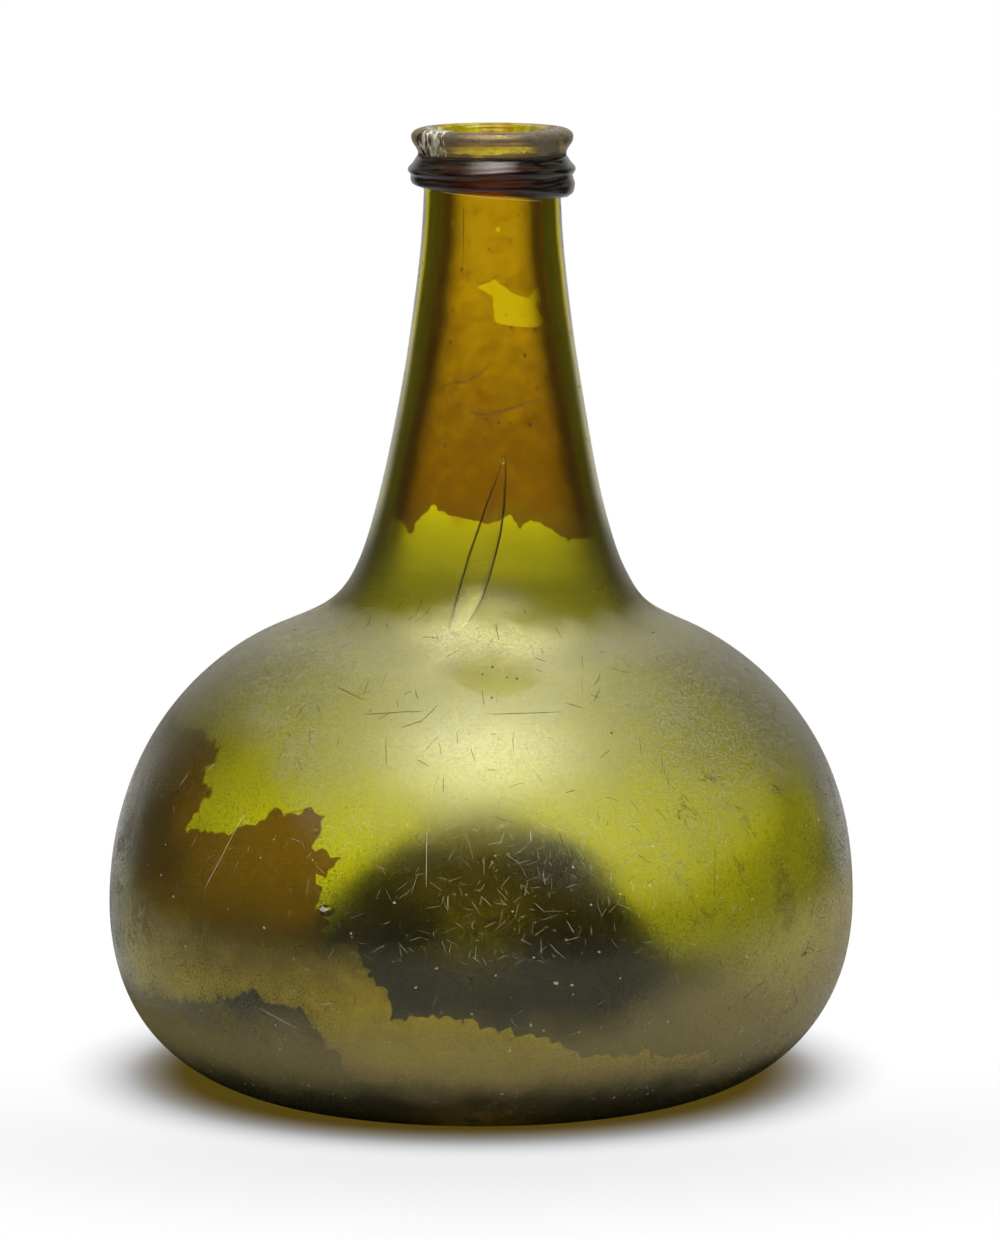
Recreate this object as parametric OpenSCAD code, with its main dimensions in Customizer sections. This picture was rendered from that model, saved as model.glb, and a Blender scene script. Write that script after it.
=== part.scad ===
// Long-necked onion bottle, free-blown in olive green glass.
// One blown gather makes the kick, body, neck and lip. A trail of glass is laid round the neck
// as a string rim, the pontil iron has left its scar in the kick, and dried residue clings inside.
// Millimetres. The origin is on the floor under the middle of the base, +Z runs up the neck,
// and the front, with the chipped lip and the residue, faces -Y.

/* [Body] */
// Height from the floor to the crest of the lip
height = 186; // [180:1:200]
// Diameter of the body at its widest
body_d = 145; // [138:1:156]
// Height of the widest place
widest_z = 36.5; // [33:0.5:42]
// How far the heel's curve holds upright below the widest place
heel_swell = 31; // [24:0.5:33]
// How far the belly's curve holds upright above the widest place
belly_swell = 33.5; // [28:0.5:37]
// Wall of the body and shoulder
body_wall = 2.8; // [2:0.1:4]

/* [Shoulder] */
// Diameter where the shoulder turns from bulging to hollow
shoulder_d = 83; // [77:0.5:89]
// Height of that turn
shoulder_z = 88.7; // [86:0.1:93]
// Lean of the wall there, in degrees from upright
shoulder_lean = 65; // [60:0.5:70]
// Pull of the turn towards the bulging side
shoulder_out = 11; // [6:0.5:14]
// Pull of the turn towards the hollow side
shoulder_in = 15.5; // [11:0.5:19]

/* [Neck] */
// Diameter of the neck halfway up
neck_mid_d = 33.6; // [31:0.2:37]
// Height of that place
neck_mid_z = 140; // [134:1:146]
// Lean of the neck there, in degrees from upright
neck_mid_lean = 9.7; // [7:0.1:12]
// Pull of the long sweep from the shoulder into the neck
neck_sweep = 47; // [38:0.5:50]
// Diameter of the neck under the string rim
neck_top_d = 26.4; // [25.4:0.2:28]
// Lean of the neck there, in degrees from upright
neck_top_lean = 1.9; // [0:0.1:4]
// Pull of the neck's straightening towards its top
neck_draw = 12; // [8:0.5:15]
// Wall of the neck
neck_wall = 3.2; // [2.6:0.1:3.6]

/* [Lip and string rim] */
// Diameter of the straight bore in the mouth, where a cork sits
bore_d = 19.6; // [18:0.2:21]
// Length of the straight bore
bore_len = 11.8; // [9:0.2:13]
// Rounding from the bore up to the lip's crest
mouth_round = 2.2; // [1.5:0.1:3]
// Height of the lip above the groove over the string rim
lip_h = 5.2; // [4.5:0.1:7]
// Diameter of the groove under the lip
lip_root_d = 28.4; // [27.6:0.2:29.4]
// Diameter of the lip at its widest
lip_d = 31.2; // [30:0.2:34]
// Drop from the crest to the lip's widest place
lip_edge_drop = 1.6; // [1.2:0.1:2.2]
// Diameter of the lip's crest
crest_d = 25.6; // [24.4:0.2:27]
// Height of the string rim
rim_h = 6.9; // [5.8:0.1:8]
// Diameter of the string rim's ridge
rim_ridge_d = 32.3; // [31:0.1:36]
// Height of the ridge above the string rim's underside
rim_ridge_up = 4.3; // [3.8:0.1:5]
// Diameter of the blunt roll under the ridge
rim_roll_d = 31.2; // [30:0.1:33]
// Height of that roll above the string rim's underside
rim_roll_up = 2.3; // [1.8:0.1:2.8]
// Radius of the shell-shaped chip in the lip
chip_r = 4; // [3:0.1:5]
// Depth of the chip into the lip's edge
chip_depth = 1.5; // [0.5:0.1:1.8]
// Height of the chip's middle above the lip's widest place
chip_up = 0.4; // [0:0.1:1]
// Bearing of the chip round the lip, in degrees from +X
chip_bearing = 212; // [180:1:270]

/* [Base] */
// Outer diameter of the worn ring that the bottle stands on
ring_d = 84; // [80:1:90]
// Width of that ring
ring_w = 3.5; // [2.5:0.5:5]
// Rounding from the ring into the kick
ring_round = 3; // [2:0.5:4]
// Pull of the heel's curve along the floor
heel_run = 6; // [4:0.5:10]
// Height of the kick's crown, the hollow pushed up into the base
kick_h = 47; // [40:1:49]
// Pull of the kick's crown towards flat
kick_crown = 26; // [20:0.5:28]
// Pull of the kick's side towards upright
kick_side = 14; // [10:0.5:18]
// Glass at the kick's crown
kick_wall = 4.6; // [3.5:0.1:6]
// Breadth of glass between the kick's side and the channel round it, at the crown's pull
kick_flank = 6; // [5:0.5:7]
// Glass under the channel round the kick
base_wall = 6; // [4.5:0.1:7]
// Distance from the ring's outer edge to the channel's lowest line
channel_out = 4.5; // [3.5:0.5:6]
// Pull of the channel's floor on each side of that line
channel_pull = 3.8; // [3:0.1:5]
// Inner radius of the pontil scar
scar_in_r = 8; // [6:0.5:9]
// Outer radius of the pontil scar
scar_out_r = 13; // [11:0.5:15]
// Thickness of the pontil scar
scar_t = 1.1; // [0.6:0.1:2]
// Thickness of the pontil scar at its outer edge
scar_edge_t = 0.45; // [0.2:0.05:0.6]

/* [Residue] */
// Thickness of the dried film
film_t = 0.3; // [0.2:0.05:0.6]
// Air behind the film where it has lifted off the wall
film_lift = 0.06; // [0.04:0.02:0.3]
// Height of the neck film's mean lower edge above the shoulder's turn
neck_film_rise = 22.3; // [18:0.1:27]
// Depth of the tears in that edge
neck_film_tear = 4; // [2:0.5:6]
// Tears round that edge
neck_film_tears = 22; // [12:1:30]
// Gap from the neck film up to the straight bore
neck_film_gap = 1.5; // [1:0.5:4]
// Drop from the straight bore to the middle of the flaked window in the neck film
flake_drop = 19; // [15:0.5:24]
// Place of that window to the right of the front
flake_x = 3.2; // [0:0.1:5]
// Width of that window
flake_w = 8; // [5:0.5:10]
// Height across that window
flake_h = 7.5; // [4:0.5:10]
// Highest place of the body film, at the left
body_film_top = 71; // [66:0.5:74]
// Lowest place of the body film, at the heel
body_film_low = 12; // [10:0.5:14]

/* [Hidden] */
$fn = 96;
curve_steps = 14;
edge_steps = 6;
// Shares of a curve's own reach at which its handles stand, on a rounding and on a slope
round_pull = 0.6;
slope_pull = 0.33;
// The tears in the neck film: where their draw starts, and the shallowest as a share of the deepest
tear_seed = 7;
tear_least = 0.25;

glass_colour = [0.42, 0.41, 0.09];
rim_colour = [0.34, 0.29, 0.12];
scar_colour = [0.3, 0.31, 0.1];
neck_film_colour = [0.68, 0.4, 0.08];
body_film_colour = [0.62, 0.44, 0.16];

body_r = body_d / 2;
bore_r = bore_d / 2;
bore_top_z = height - mouth_round;
bore_low_z = bore_top_z - bore_len;
rim_top_z = height - lip_h;
rim_low_z = rim_top_z - rim_h;
neck_top_r = neck_top_d / 2;
neck_mid_r = neck_mid_d / 2;
lip_root_r = lip_root_d / 2;
lip_r = lip_d / 2;
crest_r = crest_d / 2;
lip_edge_z = height - lip_edge_drop;
ring_out_r = ring_d / 2;
ring_in_r = ring_out_r - ring_w;
kick_foot_r = ring_in_r - ring_round;
channel_r = ring_out_r + channel_out;
inner_r = body_r - body_wall;
rim_ridge_r = rim_ridge_d / 2;
rim_roll_r = rim_roll_d / 2;
neck_film_z = shoulder_z + neck_film_rise;
flake_z = bore_low_z - flake_drop;

// Points along a cubic curve from a to d, with b and c as its handles
function curve(a, b, c, d, steps = curve_steps) = [
    for (i = [0:steps])
        let (t = i / steps, u = 1 - t)
            u * u * u * a + 3 * u * u * t * b + 3 * u * t * t * c + t * t * t * d
];

// The same curve without its first point, to follow on from another
function onward(points) = [for (i = [1:len(points) - 1]) points[i]];

function reversed(points) = [for (i = [len(points) - 1:-1:0]) points[i]];

// Up the wall and square to the wall, where it leans in by an angle from upright
function up_wall(lean) = [-sin(lean), cos(lean)];
function out_of_wall(lean) = [cos(lean), sin(lean)];

// Stations of the outer wall, as radius and height
shoulder = [shoulder_d / 2, shoulder_z];
neck_mid = [neck_mid_r, neck_mid_z];
neck_top = [neck_top_r, rim_low_z];
lip_root = [lip_root_r, rim_top_z];
widest = [body_r, widest_z];

kick_under = curve(
    [0, kick_h],
    [kick_crown, kick_h],
    [kick_foot_r, ring_round + kick_side],
    [kick_foot_r, ring_round]
);

ring_fillet = [
    for (i = [1:edge_steps])
        let (a = 180 + 90 * i / edge_steps)
            [ring_in_r + ring_round * cos(a), ring_round + ring_round * sin(a)]
];

heel = curve([ring_out_r, 0], [ring_out_r + heel_run, 0], widest - [0, heel_swell], widest);

belly = curve(
    widest,
    widest + [0, belly_swell],
    shoulder - shoulder_out * up_wall(shoulder_lean),
    shoulder
);

neck_root = curve(
    shoulder,
    shoulder + shoulder_in * up_wall(shoulder_lean),
    neck_mid - neck_sweep * up_wall(neck_mid_lean),
    neck_mid
);

neck_upper = curve(
    neck_mid,
    neck_mid + neck_draw * up_wall(neck_mid_lean),
    neck_top - neck_draw * up_wall(neck_top_lean),
    neck_top
);

// The lip flares from the groove, rolls over its edge and dips into the bore
lip_flare = curve(
    lip_root,
    lip_root + [0, slope_pull * lip_h],
    [lip_r, lip_edge_z - lip_edge_drop],
    [lip_r, lip_edge_z],
    edge_steps
);
lip_roll = curve(
    [lip_r, lip_edge_z],
    [lip_r, lip_edge_z + round_pull * lip_edge_drop],
    [crest_r + round_pull * (lip_r - crest_r), height],
    [crest_r, height],
    edge_steps
);
mouth_roll = curve(
    [crest_r, height],
    [crest_r - round_pull * (crest_r - bore_r), height],
    [bore_r, bore_top_z + round_pull * mouth_round],
    [bore_r, bore_top_z],
    edge_steps
);

// Stations of the inner wall
inner_crown = [0, kick_h + kick_wall];
channel = [channel_r, base_wall];
inner_widest = [inner_r, widest_z];
inner_shoulder = shoulder - body_wall * out_of_wall(shoulder_lean);
inner_mid = neck_mid - neck_wall * out_of_wall(neck_mid_lean);
bore_low = [bore_r, bore_low_z];

inner_kick = curve(
    inner_crown,
    inner_crown + [kick_crown + kick_flank, 0],
    channel - [channel_pull, 0],
    channel
);

inner_heel = curve(
    channel,
    channel + [channel_pull, 0],
    inner_widest - [0, heel_swell - base_wall],
    inner_widest
);

inner_belly = curve(
    inner_widest,
    inner_widest + [0, belly_swell - body_wall],
    inner_shoulder - shoulder_out * up_wall(shoulder_lean),
    inner_shoulder
);

inner_root = curve(
    inner_shoulder,
    inner_shoulder + (shoulder_in + body_wall) * up_wall(shoulder_lean),
    inner_mid - neck_sweep * up_wall(neck_mid_lean),
    inner_mid
);

inner_neck = curve(
    inner_mid,
    inner_mid + neck_draw * up_wall(neck_mid_lean),
    bore_low - neck_draw * up_wall(neck_top_lean),
    bore_low
);

outer_wall = concat(
    kick_under,
    ring_fillet,
    heel,
    onward(belly),
    onward(neck_root),
    onward(neck_upper),
    lip_flare,
    onward(lip_roll)
);

inner_wall = concat(
    inner_kick,
    onward(inner_heel),
    onward(inner_belly),
    onward(inner_root),
    onward(inner_neck)
);

// Inner wall from the channel upwards, as height and radius, for films to lie against
upright_wall = concat(inner_heel, onward(inner_belly), onward(inner_root), onward(inner_neck));
wall_table = [for (p = upright_wall) [p[1], p[0]]];
function inner_radius(z) = lookup(z, wall_table);

// Heights at which a film from low to high bends with the wall
function film_heights(low, high) = concat(
    [low],
    [for (p = upright_wall) if (p[1] > low && p[1] < high) p[1]],
    [high]
);

module chip() {
    rotate([0, 0, chip_bearing])
        translate([lip_r + chip_r - chip_depth, 0, lip_edge_z + chip_up])
            sphere(r = chip_r);
}

// The whole blown vessel, open at the mouth and pushed up at the base
module bottle_body() {
    color(glass_colour)
        difference() {
            rotate_extrude()
                polygon(concat(outer_wall, onward(mouth_roll), reversed(inner_wall)));
            chip();
        }
}

// A trail of glass wound on the neck, with a sharp ridge over a blunter roll
module string_rim() {
    ridge = [rim_ridge_r, rim_low_z + rim_ridge_up];
    roll = [rim_roll_r, rim_low_z + rim_roll_up];
    waist_r = min(rim_roll_r, rim_ridge_r);
    waist_pull = slope_pull * (rim_ridge_up - rim_roll_up);
    slope_rise = slope_pull * (rim_h - rim_ridge_up);
    undercut = curve(
        neck_top,
        neck_top + [round_pull * (rim_roll_r - neck_top_r), 0],
        roll - [0, round_pull * rim_roll_up],
        roll,
        edge_steps
    );
    waist = curve(
        roll,
        roll + [0, waist_pull],
        [waist_r, ridge[1] - waist_pull],
        ridge,
        edge_steps
    );
    slope = curve(
        ridge,
        ridge + [0, slope_rise],
        lip_root + [round_pull * (rim_ridge_r - lip_root_r), -slope_rise],
        lip_root,
        edge_steps
    );
    color(rim_colour)
        rotate_extrude()
            polygon(concat(undercut, onward(waist), onward(slope)));
}

// A rough ring of glass left under the kick's crown by the pontil iron
module pontil_scar() {
    under_table = [for (p = kick_under) [p[0], p[1]]];
    radii = concat(
        [scar_in_r],
        [for (p = kick_under) if (p[0] > scar_in_r && p[0] < scar_out_r) p[0]],
        [scar_out_r]
    );
    against = [for (r = radii) [r, lookup(r, under_table)]];
    rough = [for (p = against) [p[0], p[1] - (p[0] < scar_out_r ? scar_t : scar_edge_t)]];
    color(scar_colour)
        rotate_extrude()
            polygon(concat(against, reversed(rough)));
}

// A film of even thickness on the inner wall, all the way round between two heights
module film_band(low, high) {
    heights = film_heights(low, high);
    against = [for (z = heights) [inner_radius(z) - film_lift, z]];
    inside = [for (p = against) [p[0] - film_t, p[1]]];
    rotate_extrude()
        polygon(concat(against, reversed(inside)));
}

// Outline of the flaked window, as shares of its width and height from its middle
flake_outline = [
    [-0.75, 0.42],
    [-0.35, 0.6],
    [0.25, 0.15],
    [0.5, 0.45],
    [0.6, -0.5],
    [-0.25, -0.5],
    [-0.35, 0.2]
];

// Dried film round the inside of the neck, torn along its lower edge and flaked at the front
module neck_residue() {
    tear_pitch = 360 / neck_film_tears;
    tear_depths = rands(tear_least, 1, neck_film_tears, tear_seed);
    reach = inner_radius(neck_film_z - neck_film_tear) + film_t;
    tear_w = reach * tan(tear_pitch / 2);
    low = neck_film_z - neck_film_tear / 2;
    color(neck_film_colour)
        difference() {
            film_band(low, bore_low_z - neck_film_gap);
            for (i = [0:neck_film_tears - 1])
                rotate([0, 0, i * tear_pitch])
                    translate([0, 0, low])
                        rotate([90, 0, 90])
                            linear_extrude(height = reach)
                                polygon([
                                    [-tear_w, -film_t],
                                    [tear_w, -film_t],
                                    [0, neck_film_tear * tear_depths[i]]
                                ]);
            translate([flake_x, 0, flake_z])
                rotate([90, 0, 0])
                    linear_extrude(height = body_r)
                        polygon([for (p = flake_outline) [flake_w * p[0], flake_h * p[1]]]);
        }
}

// Outline of the body film from the front, as X and height, torn along its upper and right edges
body_film_outline = [
    [-body_r, body_film_top],
    [-50, body_film_top],
    [-53.5, 64.5],
    [-51.5, 62.5],
    [-56, 56],
    [-46, 57],
    [-38.5, 62],
    [-29, 62],
    [-31.5, 56.5],
    [-25.5, 55],
    [-30.5, 50],
    [-28, 38.5],
    [-23, 40.5],
    [-20.5, 33],
    [-16.5, 30.5],
    [-17, 25],
    [-5.5, 26.5],
    [-3, 24.5],
    [-1, 26],
    [11.5, 22],
    [18.5, 17.5],
    [41, 16],
    [34, body_film_low],
    [-24, body_film_low],
    [-25.5, 17],
    [-32, 25.5],
    [-40, 28],
    [-45, 24],
    [-body_r, 28]
];

// Dried film on the inside of the body, over the left and low on the front
module body_residue() {
    color(body_film_colour)
        intersection() {
            film_band(body_film_low, body_film_top);
            rotate([90, 0, 0])
                linear_extrude(height = body_r)
                    polygon(body_film_outline);
        }
}

bottle_body();
string_rim();
pontil_scar();
neck_residue();
body_residue();
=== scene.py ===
import math
import random

import bpy
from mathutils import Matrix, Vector, geometry, noise


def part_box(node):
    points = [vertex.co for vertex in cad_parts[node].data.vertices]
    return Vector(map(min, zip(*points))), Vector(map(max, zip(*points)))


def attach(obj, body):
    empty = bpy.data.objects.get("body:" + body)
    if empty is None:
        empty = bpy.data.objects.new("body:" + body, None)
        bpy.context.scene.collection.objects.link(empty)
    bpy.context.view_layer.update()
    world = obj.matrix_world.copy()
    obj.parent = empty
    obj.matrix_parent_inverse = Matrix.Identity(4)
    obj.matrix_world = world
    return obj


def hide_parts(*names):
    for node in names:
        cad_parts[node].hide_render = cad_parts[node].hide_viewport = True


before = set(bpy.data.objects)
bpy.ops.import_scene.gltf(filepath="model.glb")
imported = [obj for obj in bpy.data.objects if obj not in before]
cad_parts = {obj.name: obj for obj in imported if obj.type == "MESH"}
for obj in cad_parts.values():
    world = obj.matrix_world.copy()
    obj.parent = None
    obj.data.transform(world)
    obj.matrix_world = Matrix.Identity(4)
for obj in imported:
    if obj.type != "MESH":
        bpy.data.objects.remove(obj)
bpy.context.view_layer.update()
mm = 0.001
scene = bpy.context.scene
print("frame loaded with", len(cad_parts), "nodes")

# The photograph's view: a long lens, a little above the lip
view = {"distance": 1.4, "height": 0.2916, "aim": 0.0907, "side": 0.0025, "lens": 212.2, "sensor": 36}


def addObject(name, data):
    thing = bpy.data.objects.new(name, data)
    scene.collection.objects.link(thing)
    return thing


def setCamera():
    data = bpy.data.cameras.new("viewCamera")
    data.sensor_width = view["sensor"]
    data.lens = view["lens"]
    camera = addObject("viewCamera", data)
    camera.location = (view["side"], -view["distance"], view["height"])
    aim = Vector((view["side"], 0, view["aim"])) - camera.location
    camera.rotation_euler = aim.to_track_quat("-Z", "Y").to_euler()
    scene.camera = camera


setCamera()
print("camera set")

# The blown wall, in mm. A station is a radius and a height, with the wall's lean from upright in degrees;
# swells, sweeps, draws, ins and outs are the pulls of the curves between stations
up, inward, down, outward = 0, 90, 180, -90  # leans of a wall that runs straight up, in, down or out
bottleLow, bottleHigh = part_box("bottle_body")
bottle = {
    "height": bottleHigh.z / mm,
    "bodyR": (bottleHigh.x - bottleLow.x) / 2 / mm,
    "bodyWall": 2.8,
    "neckWall": 3.2,
    "widestZ": 36.5,
    "heelSwell": 31,
    "bellySwell": 33.5,
    "shoulder": ((41.6, 88.6), 66.5),
    "shoulderOut": 10.2,
    "shoulderIn": 10.6,
    "collar": ((25.7, 101.7), 24.8),
    "collarIn": 8.4,
    "collarOut": 8.5,
    "neckMid": ((16.8, 140), 9.7),
    "neckSweep": 13,
    "innerShoulderIn": 18.3,
    "innerSweep": 47,
    "neckTop": ((13.2, 173.9), 1.9),
    "neckDraw": 12,
    "underLip": (13.6, 177),
    "lipRoot": (14.2, 180.8),
    "lipEdge": (15.6, 184.4),
    "lipEdgeDrop": 1.6,
    "crestR": 12.8,
    "bore": (9.8, 183.8),
    "boreLowZ": 172,
    "boreStep": 1.2,
    "ringOutR": 42,
    "ringInR": 38.5,
    "ringRound": 3,
    "ringSteps": 6,
    "heelRun": 6,
    "kickH": 47,
    "kickCrown": 26,
    "kickSide": 14,
    "kickWall": 4.6,
    "kickFlank": 6,
    "channel": (46.5, 6),
    "channelPull": 3.8,
    "roundPull": 0.6,
    "slopePull": 0.33,
    "step": {"kick": 2, "outer": 1.6, "root": 0.9, "inner": 1.8, "lip": 0.4},
    "segments": 200,
    "seed": 4,
}
# How the free-blown axis strays to the side with height, in mm
stray = [(0, -1.4), (36, -1.1), (70, -0.75), (84, -0.75), (100, 0.5), (140, 0.9), (186, 1.05)]
# Unevenness of the two faces of the wall, in mm: depth, size and shift of the waves, with finer ones on top
uneven = {
    "outer": (0.22, 46, 0),
    "inner": (0.34, 30, 31),
    "squash": 1.4,
    "finer": (0.35, 2.7),
    "ovalAmp": 0.25,
    "ovalTurn": 0.6,
    "ovalR": 60,
    "calmR": 18,
}


def cubic(a, b, c, d, step):
    span = math.dist(a, b) + math.dist(b, c) + math.dist(c, d)
    count = max(4, round(span / step))
    points = []
    for i in range(count + 1):
        t = i / count
        u = 1 - t
        shares = (u**3, 3 * u * u * t, 3 * u * t * t, t**3)
        points.append(tuple(sum(s * p[n] for s, p in zip(shares, (a, b, c, d))) for n in (0, 1)))
    return points


def upWall(station, pull):
    (r, z), lean = station
    tilt = math.radians(lean)
    return r - pull * math.sin(tilt), z + pull * math.cos(tilt)


def intoWall(station, wall):
    (r, z), lean = station
    tilt = math.radians(lean)
    return (r - wall * math.cos(tilt), z - wall * math.sin(tilt)), lean


def span(start, pullOut, end, pullIn, step):
    return cubic(start[0], upWall(start, pullOut), upWall(end, -pullIn), end[0], bottle["step"][step])


def joinRuns(*runs):
    points = list(runs[0])
    for run in runs[1:]:
        points += run[1:] if math.dist(points[-1], run[0]) < 1e-6 else run
    return points


def outerRuns():
    b = bottle
    rounding = b["ringRound"]
    crown = (0, b["kickH"]), outward
    ringIn = (b["ringInR"] - rounding, rounding), down
    fillet = []
    for i in range(1, b["ringSteps"] + 1):
        turn = math.pi + math.pi / 2 * i / b["ringSteps"]
        fillet.append((b["ringInR"] + rounding * math.cos(turn), rounding * (1 + math.sin(turn))))
    ringOut = (b["ringOutR"], 0), outward
    widest = (b["bodyR"], b["widestZ"]), up
    toCollar = span(b["shoulder"], b["shoulderIn"], b["collar"], b["collarIn"], "root")
    toNeck = span(b["collar"], b["collarOut"], b["neckMid"], b["neckSweep"], "outer")
    return {
        "kick": span(crown, b["kickCrown"], ringIn, b["kickSide"], "kick"),
        "fillet": fillet,
        "heel": span(ringOut, b["heelRun"], widest, b["heelSwell"], "outer"),
        "belly": span(widest, b["bellySwell"], b["shoulder"], b["shoulderOut"], "outer"),
        "root": joinRuns(toCollar, toNeck),
        "upper": span(b["neckMid"], b["neckDraw"], b["neckTop"], b["neckDraw"], "outer"),
    }


def lipRuns():
    b = bottle
    top, crestR, pull, drop = b["height"], b["crestR"], b["roundPull"], b["lipEdgeDrop"]
    root, edge = (b["lipRoot"], up), (b["lipEdge"], up)
    boreR, boreZ = b["bore"]
    flare = span(root, b["slopePull"] * (top - b["lipRoot"][1]), edge, drop, "lip")
    crest = (crestR, top), inward
    roll = span(edge, pull * drop, crest, pull * (b["lipEdge"][0] - crestR), "lip")
    mouth = span(crest, pull * (crestR - boreR), (b["bore"], down), pull * (top - boreZ), "lip")
    return flare, roll, mouth


def innerRuns():
    b = bottle
    crown = (0, b["kickH"] + b["kickWall"]), outward
    channel = b["channel"], outward
    widest = (b["bodyR"] - b["bodyWall"], b["widestZ"]), up
    shoulder = intoWall(b["shoulder"], b["bodyWall"])
    neckMid = intoWall(b["neckMid"], b["neckWall"])
    boreLow = (b["bore"][0], b["boreLowZ"]), b["neckTop"][1]
    return {
        "kick": span(crown, b["kickCrown"] + b["kickFlank"], channel, b["channelPull"], "kick"),
        "heel": span(channel, b["channelPull"], widest, b["heelSwell"] - b["channel"][1], "inner"),
        "belly": span(widest, b["bellySwell"] - b["bodyWall"], shoulder, b["shoulderOut"], "inner"),
        "root": span(shoulder, b["innerShoulderIn"], neckMid, b["innerSweep"], "inner"),
        "neck": span(neckMid, b["neckDraw"], boreLow, b["neckDraw"], "inner"),
    }


outerSide = outerRuns()
innerSide = innerRuns()
lipFlare, lipRoll, lipMouth = lipRuns()
outerFlank = joinRuns(*(outerSide[run] for run in ("heel", "belly", "root", "upper")))
outerUpright = joinRuns(outerFlank, lipFlare)
innerUpright = joinRuns(*(innerSide[run] for run in ("heel", "belly", "root", "neck")), [bottle["bore"]])


def ease(value, low, high):
    share = min(1, max(0, (value - low) / (high - low)))
    return share * share * (3 - 2 * share)


# Reads a run at a value of its first (0) or second (1) number
def readRun(run, value, key):
    low = run[0]
    for high in run[1:]:
        if value <= high[key]:
            share = (value - low[key]) / max(high[key] - low[key], 1e-9)
            return low[1 - key] + max(share, 0) * (high[1 - key] - low[1 - key])
        low = high
    return run[-1][1 - key]


def radiusAt(z, upright=outerUpright):
    return readRun(upright, z, 1)


def strayAt(z):
    for low, high in zip(stray, stray[1:]):
        if z <= high[0]:
            return low[1] + ease(z, low[0], high[0]) * (high[1] - low[1])
    return stray[-1][1]


def waveAt(r, az, z, inside=False):
    calm = min(1, r / uneven["calmR"])
    amp, size, shift = uneven["inner" if inside else "outer"]
    spot = Vector((r * math.sin(az) + shift, -r * math.cos(az), z * uneven["squash"])) / size
    share, finer = uneven["finer"]
    oval = uneven["ovalAmp"] * math.cos(2 * az + uneven["ovalTurn"]) * min(1, r / uneven["ovalR"])
    return calm * (amp * noise.noise(spot) + share * amp * noise.noise(spot * finer) + oval)


def place(r, az, z):
    return ((r * math.sin(az) + strayAt(z)) * mm, -r * math.cos(az) * mm, z * mm)


def onWall(azDegrees, z, lift=0.0, inside=False):
    upright = innerUpright if inside else outerUpright
    az = math.radians(azDegrees)
    r = radiusAt(z, upright)
    lean = math.atan2(radiusAt(z - 0.5, upright) - radiusAt(z + 0.5, upright), 1.0)
    r += waveAt(r, az, z, inside)
    return place(r + lift * math.cos(lean), az, z + lift * math.sin(lean))


# A point of a run, raised square to it
def liftedSpot(run, i, az, lift, inside=False, cut=0.0):
    r, z = run[i]
    near, far = run[max(i - 1, 0)], run[min(i + 1, len(run) - 1)]
    way = Vector((far[0] - near[0], far[1] - near[1])).normalized()
    return place(r + waveAt(r, az, z, inside) - cut + lift * way.y, az, z - lift * way.x)


def evenTurns(count):
    return [2 * math.pi * j / count for j in range(count)]


# A shape is a list of points and a list of faces
def addRow(shape, spots):
    start = len(shape[0])
    shape[0].extend(spots)
    return list(range(start, len(shape[0])))


# Faces between rows of points; a row that repeats one point closes to a tip
def stitch(rows, shape, around=True, flip=False):
    for low, high in zip(rows, rows[1:]):
        for j in range(len(low) if around else len(low) - 1):
            k = (j + 1) % len(low)
            face = tuple(dict.fromkeys((low[j], low[k], high[k], high[j])))
            shape[1].append(face[::-1] if flip else face)


def makeObject(name, shape, material):
    mesh = bpy.data.meshes.new(name)
    mesh.from_pydata(shape[0], [], shape[1])
    mesh.update()
    mesh.polygons.foreach_set("use_smooth", [True] * len(mesh.polygons))
    mesh.materials.append(material)
    piece = addObject(name, mesh)
    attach(piece, "root")
    return piece


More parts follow.
